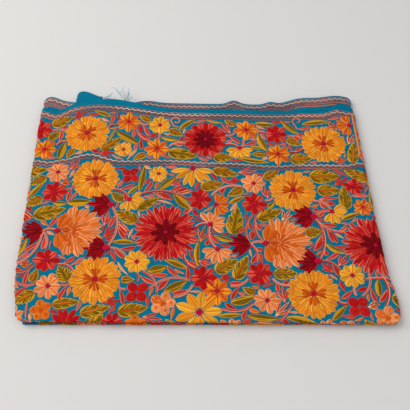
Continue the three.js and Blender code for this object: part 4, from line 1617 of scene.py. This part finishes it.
Layer = namedtuple("Layer", "name place s t under")
inner_left = left_axis(0) + INNER_LEFT_IN
layer_right = right_axis(FOLDED_DEPTH / 2)
lining_s, lining_t = sheet_grid(
    tuck_end, layer_right, inner_front, lining_back, LAYER_PITCH, 24
)
middle_s = np.linspace(tuck_end + MIDDLE_LEFT_IN, layer_right, MIDDLE_COLUMNS)
middle_t = middle_rows(middle_s)[::-1]
inner_s, inner_t = sheet_grid(
    inner_left, layer_right, inner_front, level_edge(BOTTOM_HEM - 3), LAYER_PITCH, 8
)
LAYERS = [
    Layer("lining_wool", on_lining, lining_s, lining_t, "middle_pair_wool"),
    Layer(
        "middle_pair_wool", on_middle, np.broadcast_to(middle_s, middle_t.shape), middle_t,
        "inner_leaf_wool",
    ),
    Layer("inner_leaf_wool", on_inner, inner_s, inner_t, "face_leaf_wool"),
]
for layer in LAYERS:
    made = wall_object(
        layer.name, layer.place, layer.s, layer.t, LAYER_SINK, LAYER_SINK - LAYER, turquoise_wool
    )
    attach(made, "root")
    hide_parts("hidden_layers")

# The middle pair's nose shows between the other two, so its face has flowers of its own, each
# with one blade beside it. The sines spread them as a hand would.
NOSE_PITCH = 36.0
NOSE_END = 14.0
NOSE_RADIUS = 20.0
NOSE_BACK = -2.0
NOSE_STRAY = 3.0
NOSE_TURN = 20.0
NOSE_BLADE_LENGTH = 26.0
NOSE_BLADE_WIDTH = 8.0
NOSE_FLATTER = 0.35
NOSE_HIGHEST = 0.3
NOSE_KINDS = ["bobble", "half red", "sun", "peach bobble", "scarlet", "half orange", "star"]


def on_nose(s, t, h):
    """The middle pair's face, with flatter stitches: it is pressed between two layers."""
    return on_middle(s, t, np.minimum(NOSE_FLATTER * h, NOSE_HIGHEST))


nose = Stitching()
for k, x in enumerate(np.arange(tuck_end + NOSE_PITCH, layer_right - NOSE_END, NOSE_PITCH)):
    kind = NOSE_KINDS[k % len(NOSE_KINDS)]
    y = front_fold(x) + NOSE_BACK + NOSE_STRAY * math.sin(2.3 * k)
    sew_bloom(nose, Bloom(kind, x, y, NOSE_RADIUS, 90 + NOSE_TURN * math.sin(k)))
    pads(
        nose, BLADE, x + 14, y - 6, 60 + 25 * math.sin(3 * k), NOSE_BLADE_LENGTH,
        NOSE_BLADE_WIDTH, "mustard", "gold", "olive",
    )
nose_stitches = nose.sew("nose_stitches", on_nose, stitched_wool)
for layer in LAYERS:
    cut_of(layer.s, layer.t)

# ---------------------------------------------------------------- the loose corner
# A plain end of the ground cloth has slipped out behind the hem and sags to the floor. It is the
# same twill with nothing sewn on it, and only its own weight holds it.

CORNER_LEFT = -277.0
CORNER_RIGHT = -221.0
CORNER_TIP = 284.0
CORNER_TIP_HEIGHT = 4.5
CORNER_WALL = 1.6  # its face lies this far above the line that sags to that height
CORNER_CLOTH = 1.1  # its thickness
CORNER_TUCK = 5.0  # it starts this far under the hem
CORNER_SLANT = 17.0  # its edge runs this far forward at the right
SLANT_START = 0.15  # of its width
SAG_START = 246.0
BULGE = 2.4
BULGE_START = 250.0
BULGE_RUN = 30.0


def loose_edge(x):
    """The back edge: it slants forward to the right, and is rounded at its left corner."""
    across = (x - CORNER_LEFT) / (CORNER_RIGHT - CORNER_LEFT)
    rounded = 1.2 * corner_cut((x - CORNER_LEFT) * 1.1)
    slant = smooth((across - SLANT_START) / (1 - SLANT_START))
    return CORNER_TIP - CORNER_SLANT * slant - rounded


def on_corner(s, t, h):
    """It sags from the second leaf to its tip, and bulges along its middle as it goes."""
    s, t, h = np.broadcast_arrays(s, t, h)
    across = (s - CORNER_LEFT) / (CORNER_RIGHT - CORNER_LEFT)
    sag = smooth((t - SAG_START) / (CORNER_TIP - SAG_START))
    bulge = BULGE * smooth((t - BULGE_START) / BULGE_RUN) * np.sin(np.pi * across) ** 2
    z = lerp(SECOND_TOP + 0.3, CORNER_TIP_HEIGHT, sag) + bulge + CORNER_WALL
    return np.stack([s, t, z + h], -1)


corner_s, corner_t = sheet_grid(
    CORNER_LEFT, CORNER_RIGHT, lambda x: hem(x) - CORNER_TUCK, loose_edge, 2.2, 20
)
loose_corner = wall_object(
    "loose_corner_wool", on_corner, corner_s, corner_t, 0.0, -CORNER_CLOTH, turquoise_wool
)
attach(loose_corner, "root")
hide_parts("end_corner")
cut_of(corner_s, corner_t)

# ---------------------------------------------------------------- frayed threads
# Yarns that have pulled out of the hem and out of the tip of the loose corner. Each is a round,
# limp end that thins out. A row gives its place in the tuft, its length, heading, bend and rise.

Thread = namedtuple("Thread", "along long heading bend rise")
HEM_THREADS = [
    Thread(-5, 46, -42, 8, 4),
    Thread(-4, 38, -33, -4, 3),
    Thread(-3, 30, -24, -5, 2),
    Thread(-2, 34, -19, 4, 3),
    Thread(-1, 38, -14, -6, 3),
    Thread(0, 26, -8, 3, 1),
    Thread(1, 34, -2, 5, 2),
    Thread(2, 28, 3, -3, 0),
    Thread(3, 24, 6, -4, -3),
    Thread(4, 18, 12, 3, -3),
    Thread(5, 14, 16, 2, -4),
]
CORNER_THREADS = [
    Thread(-2, 26, 48, 6, 3),
    Thread(-1, 20, 56, -3, 1),
    Thread(0, 16, 66, -4, -1),
    Thread(1, 13, 74, 3, -1),
    Thread(2, 11, 80, 3, -2),
]
YARN_RADIUS = 0.35
YARN_SIDES = 5
YARN_END = 0.25  # of the radius
YARN_POINTS = 14
YARN_CRINKLE = 0.7
YARN_COLOUR = linear(22, 140, 166)


def tubes(name, routes, radius, material):
    """Round yarns along routes of points. Each point of a route has a ring across it: the cosine
    and sine of equal turns along two directions at right angles to the route, times the radius,
    which thins over the last part."""
    turns = (2 * np.pi * np.arange(YARN_SIDES) / YARN_SIDES)[:, None]
    points = []
    faces = []
    first = 0
    for route in routes:
        run = np.gradient(route, axis=0)
        run /= np.linalg.norm(run, axis=1, keepdims=True)
        aside = np.cross(run, [0, 0, 1])
        aside /= np.linalg.norm(aside, axis=1, keepdims=True)
        above = np.cross(aside, run)
        taper = radius * np.minimum(1, YARN_END + 5 * np.linspace(1, 0, len(route)))
        spoke = aside[:, None] * np.cos(turns) + above[:, None] * np.sin(turns)
        ring = route[:, None] + taper[:, None, None] * spoke
        index = first + np.arange(len(route) * YARN_SIDES).reshape(-1, YARN_SIDES)
        after = np.roll(index, -1, axis=1)
        wall = np.stack([index[:-1], after[:-1], after[1:], index[1:]], -1)
        points.append(ring.reshape(-1, 3))
        faces += wall.reshape(-1, 4).tolist()
        faces += [index[0, ::-1].tolist(), index[-1].tolist()]
        first += index.size
    made = mesh_object(name, np.concatenate(points), faces, material)
    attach(made, "root")
    return made


def thread_route(root, thread):
    """A route from the root along the heading, with a bend that grows towards the tip, a small
    crinkle across, and a rise as the square of the way along."""
    heading = math.radians(thread.heading)
    onward = np.array([math.sin(heading), math.cos(heading), 0])
    across = np.array([onward[1], -onward[0], 0])
    t = np.linspace(0, 1, YARN_POINTS)[:, None]
    crinkle = YARN_CRINKLE * np.sin(9 * t + thread.along)
    wisp = thread.bend * np.sin(np.pi * t) * t + crinkle
    rise = [thread.along, 0, 0] + np.array([0, 0, thread.rise]) * t**2
    return root + onward * thread.long * t + across * wisp + rise


warp_yarn = Graph("loose_yarn").finish(YARN_COLOUR)

FRAY_X = -167.0
FRAY_OUT = 1.5  # the tuft starts this far past the hem
FRAY_UP = 0.6  # and this far above the top
TIP_RIGHT = 4.0
TIP_IN = 5.0
TIP_SINK = 0.8
fray_root = np.array([FRAY_X, hem(FRAY_X) + FRAY_OUT, TOP + FRAY_UP])
tip_x = CORNER_RIGHT + TIP_RIGHT
tip_y = loose_edge(CORNER_RIGHT) - TIP_IN
tip_root = np.array([tip_x, tip_y, float(on_corner(CORNER_RIGHT, tip_y, 0)[2]) - TIP_SINK])
for name, root, rows, node in (
    ("hem_yarns", fray_root, HEM_THREADS, "hem_threads"),
    ("corner_yarns", tip_root, CORNER_THREADS, "corner_threads"),
):
    yarns = tubes(name, [thread_route(root, row) for row in rows], YARN_RADIUS, warp_yarn)
    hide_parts(node)
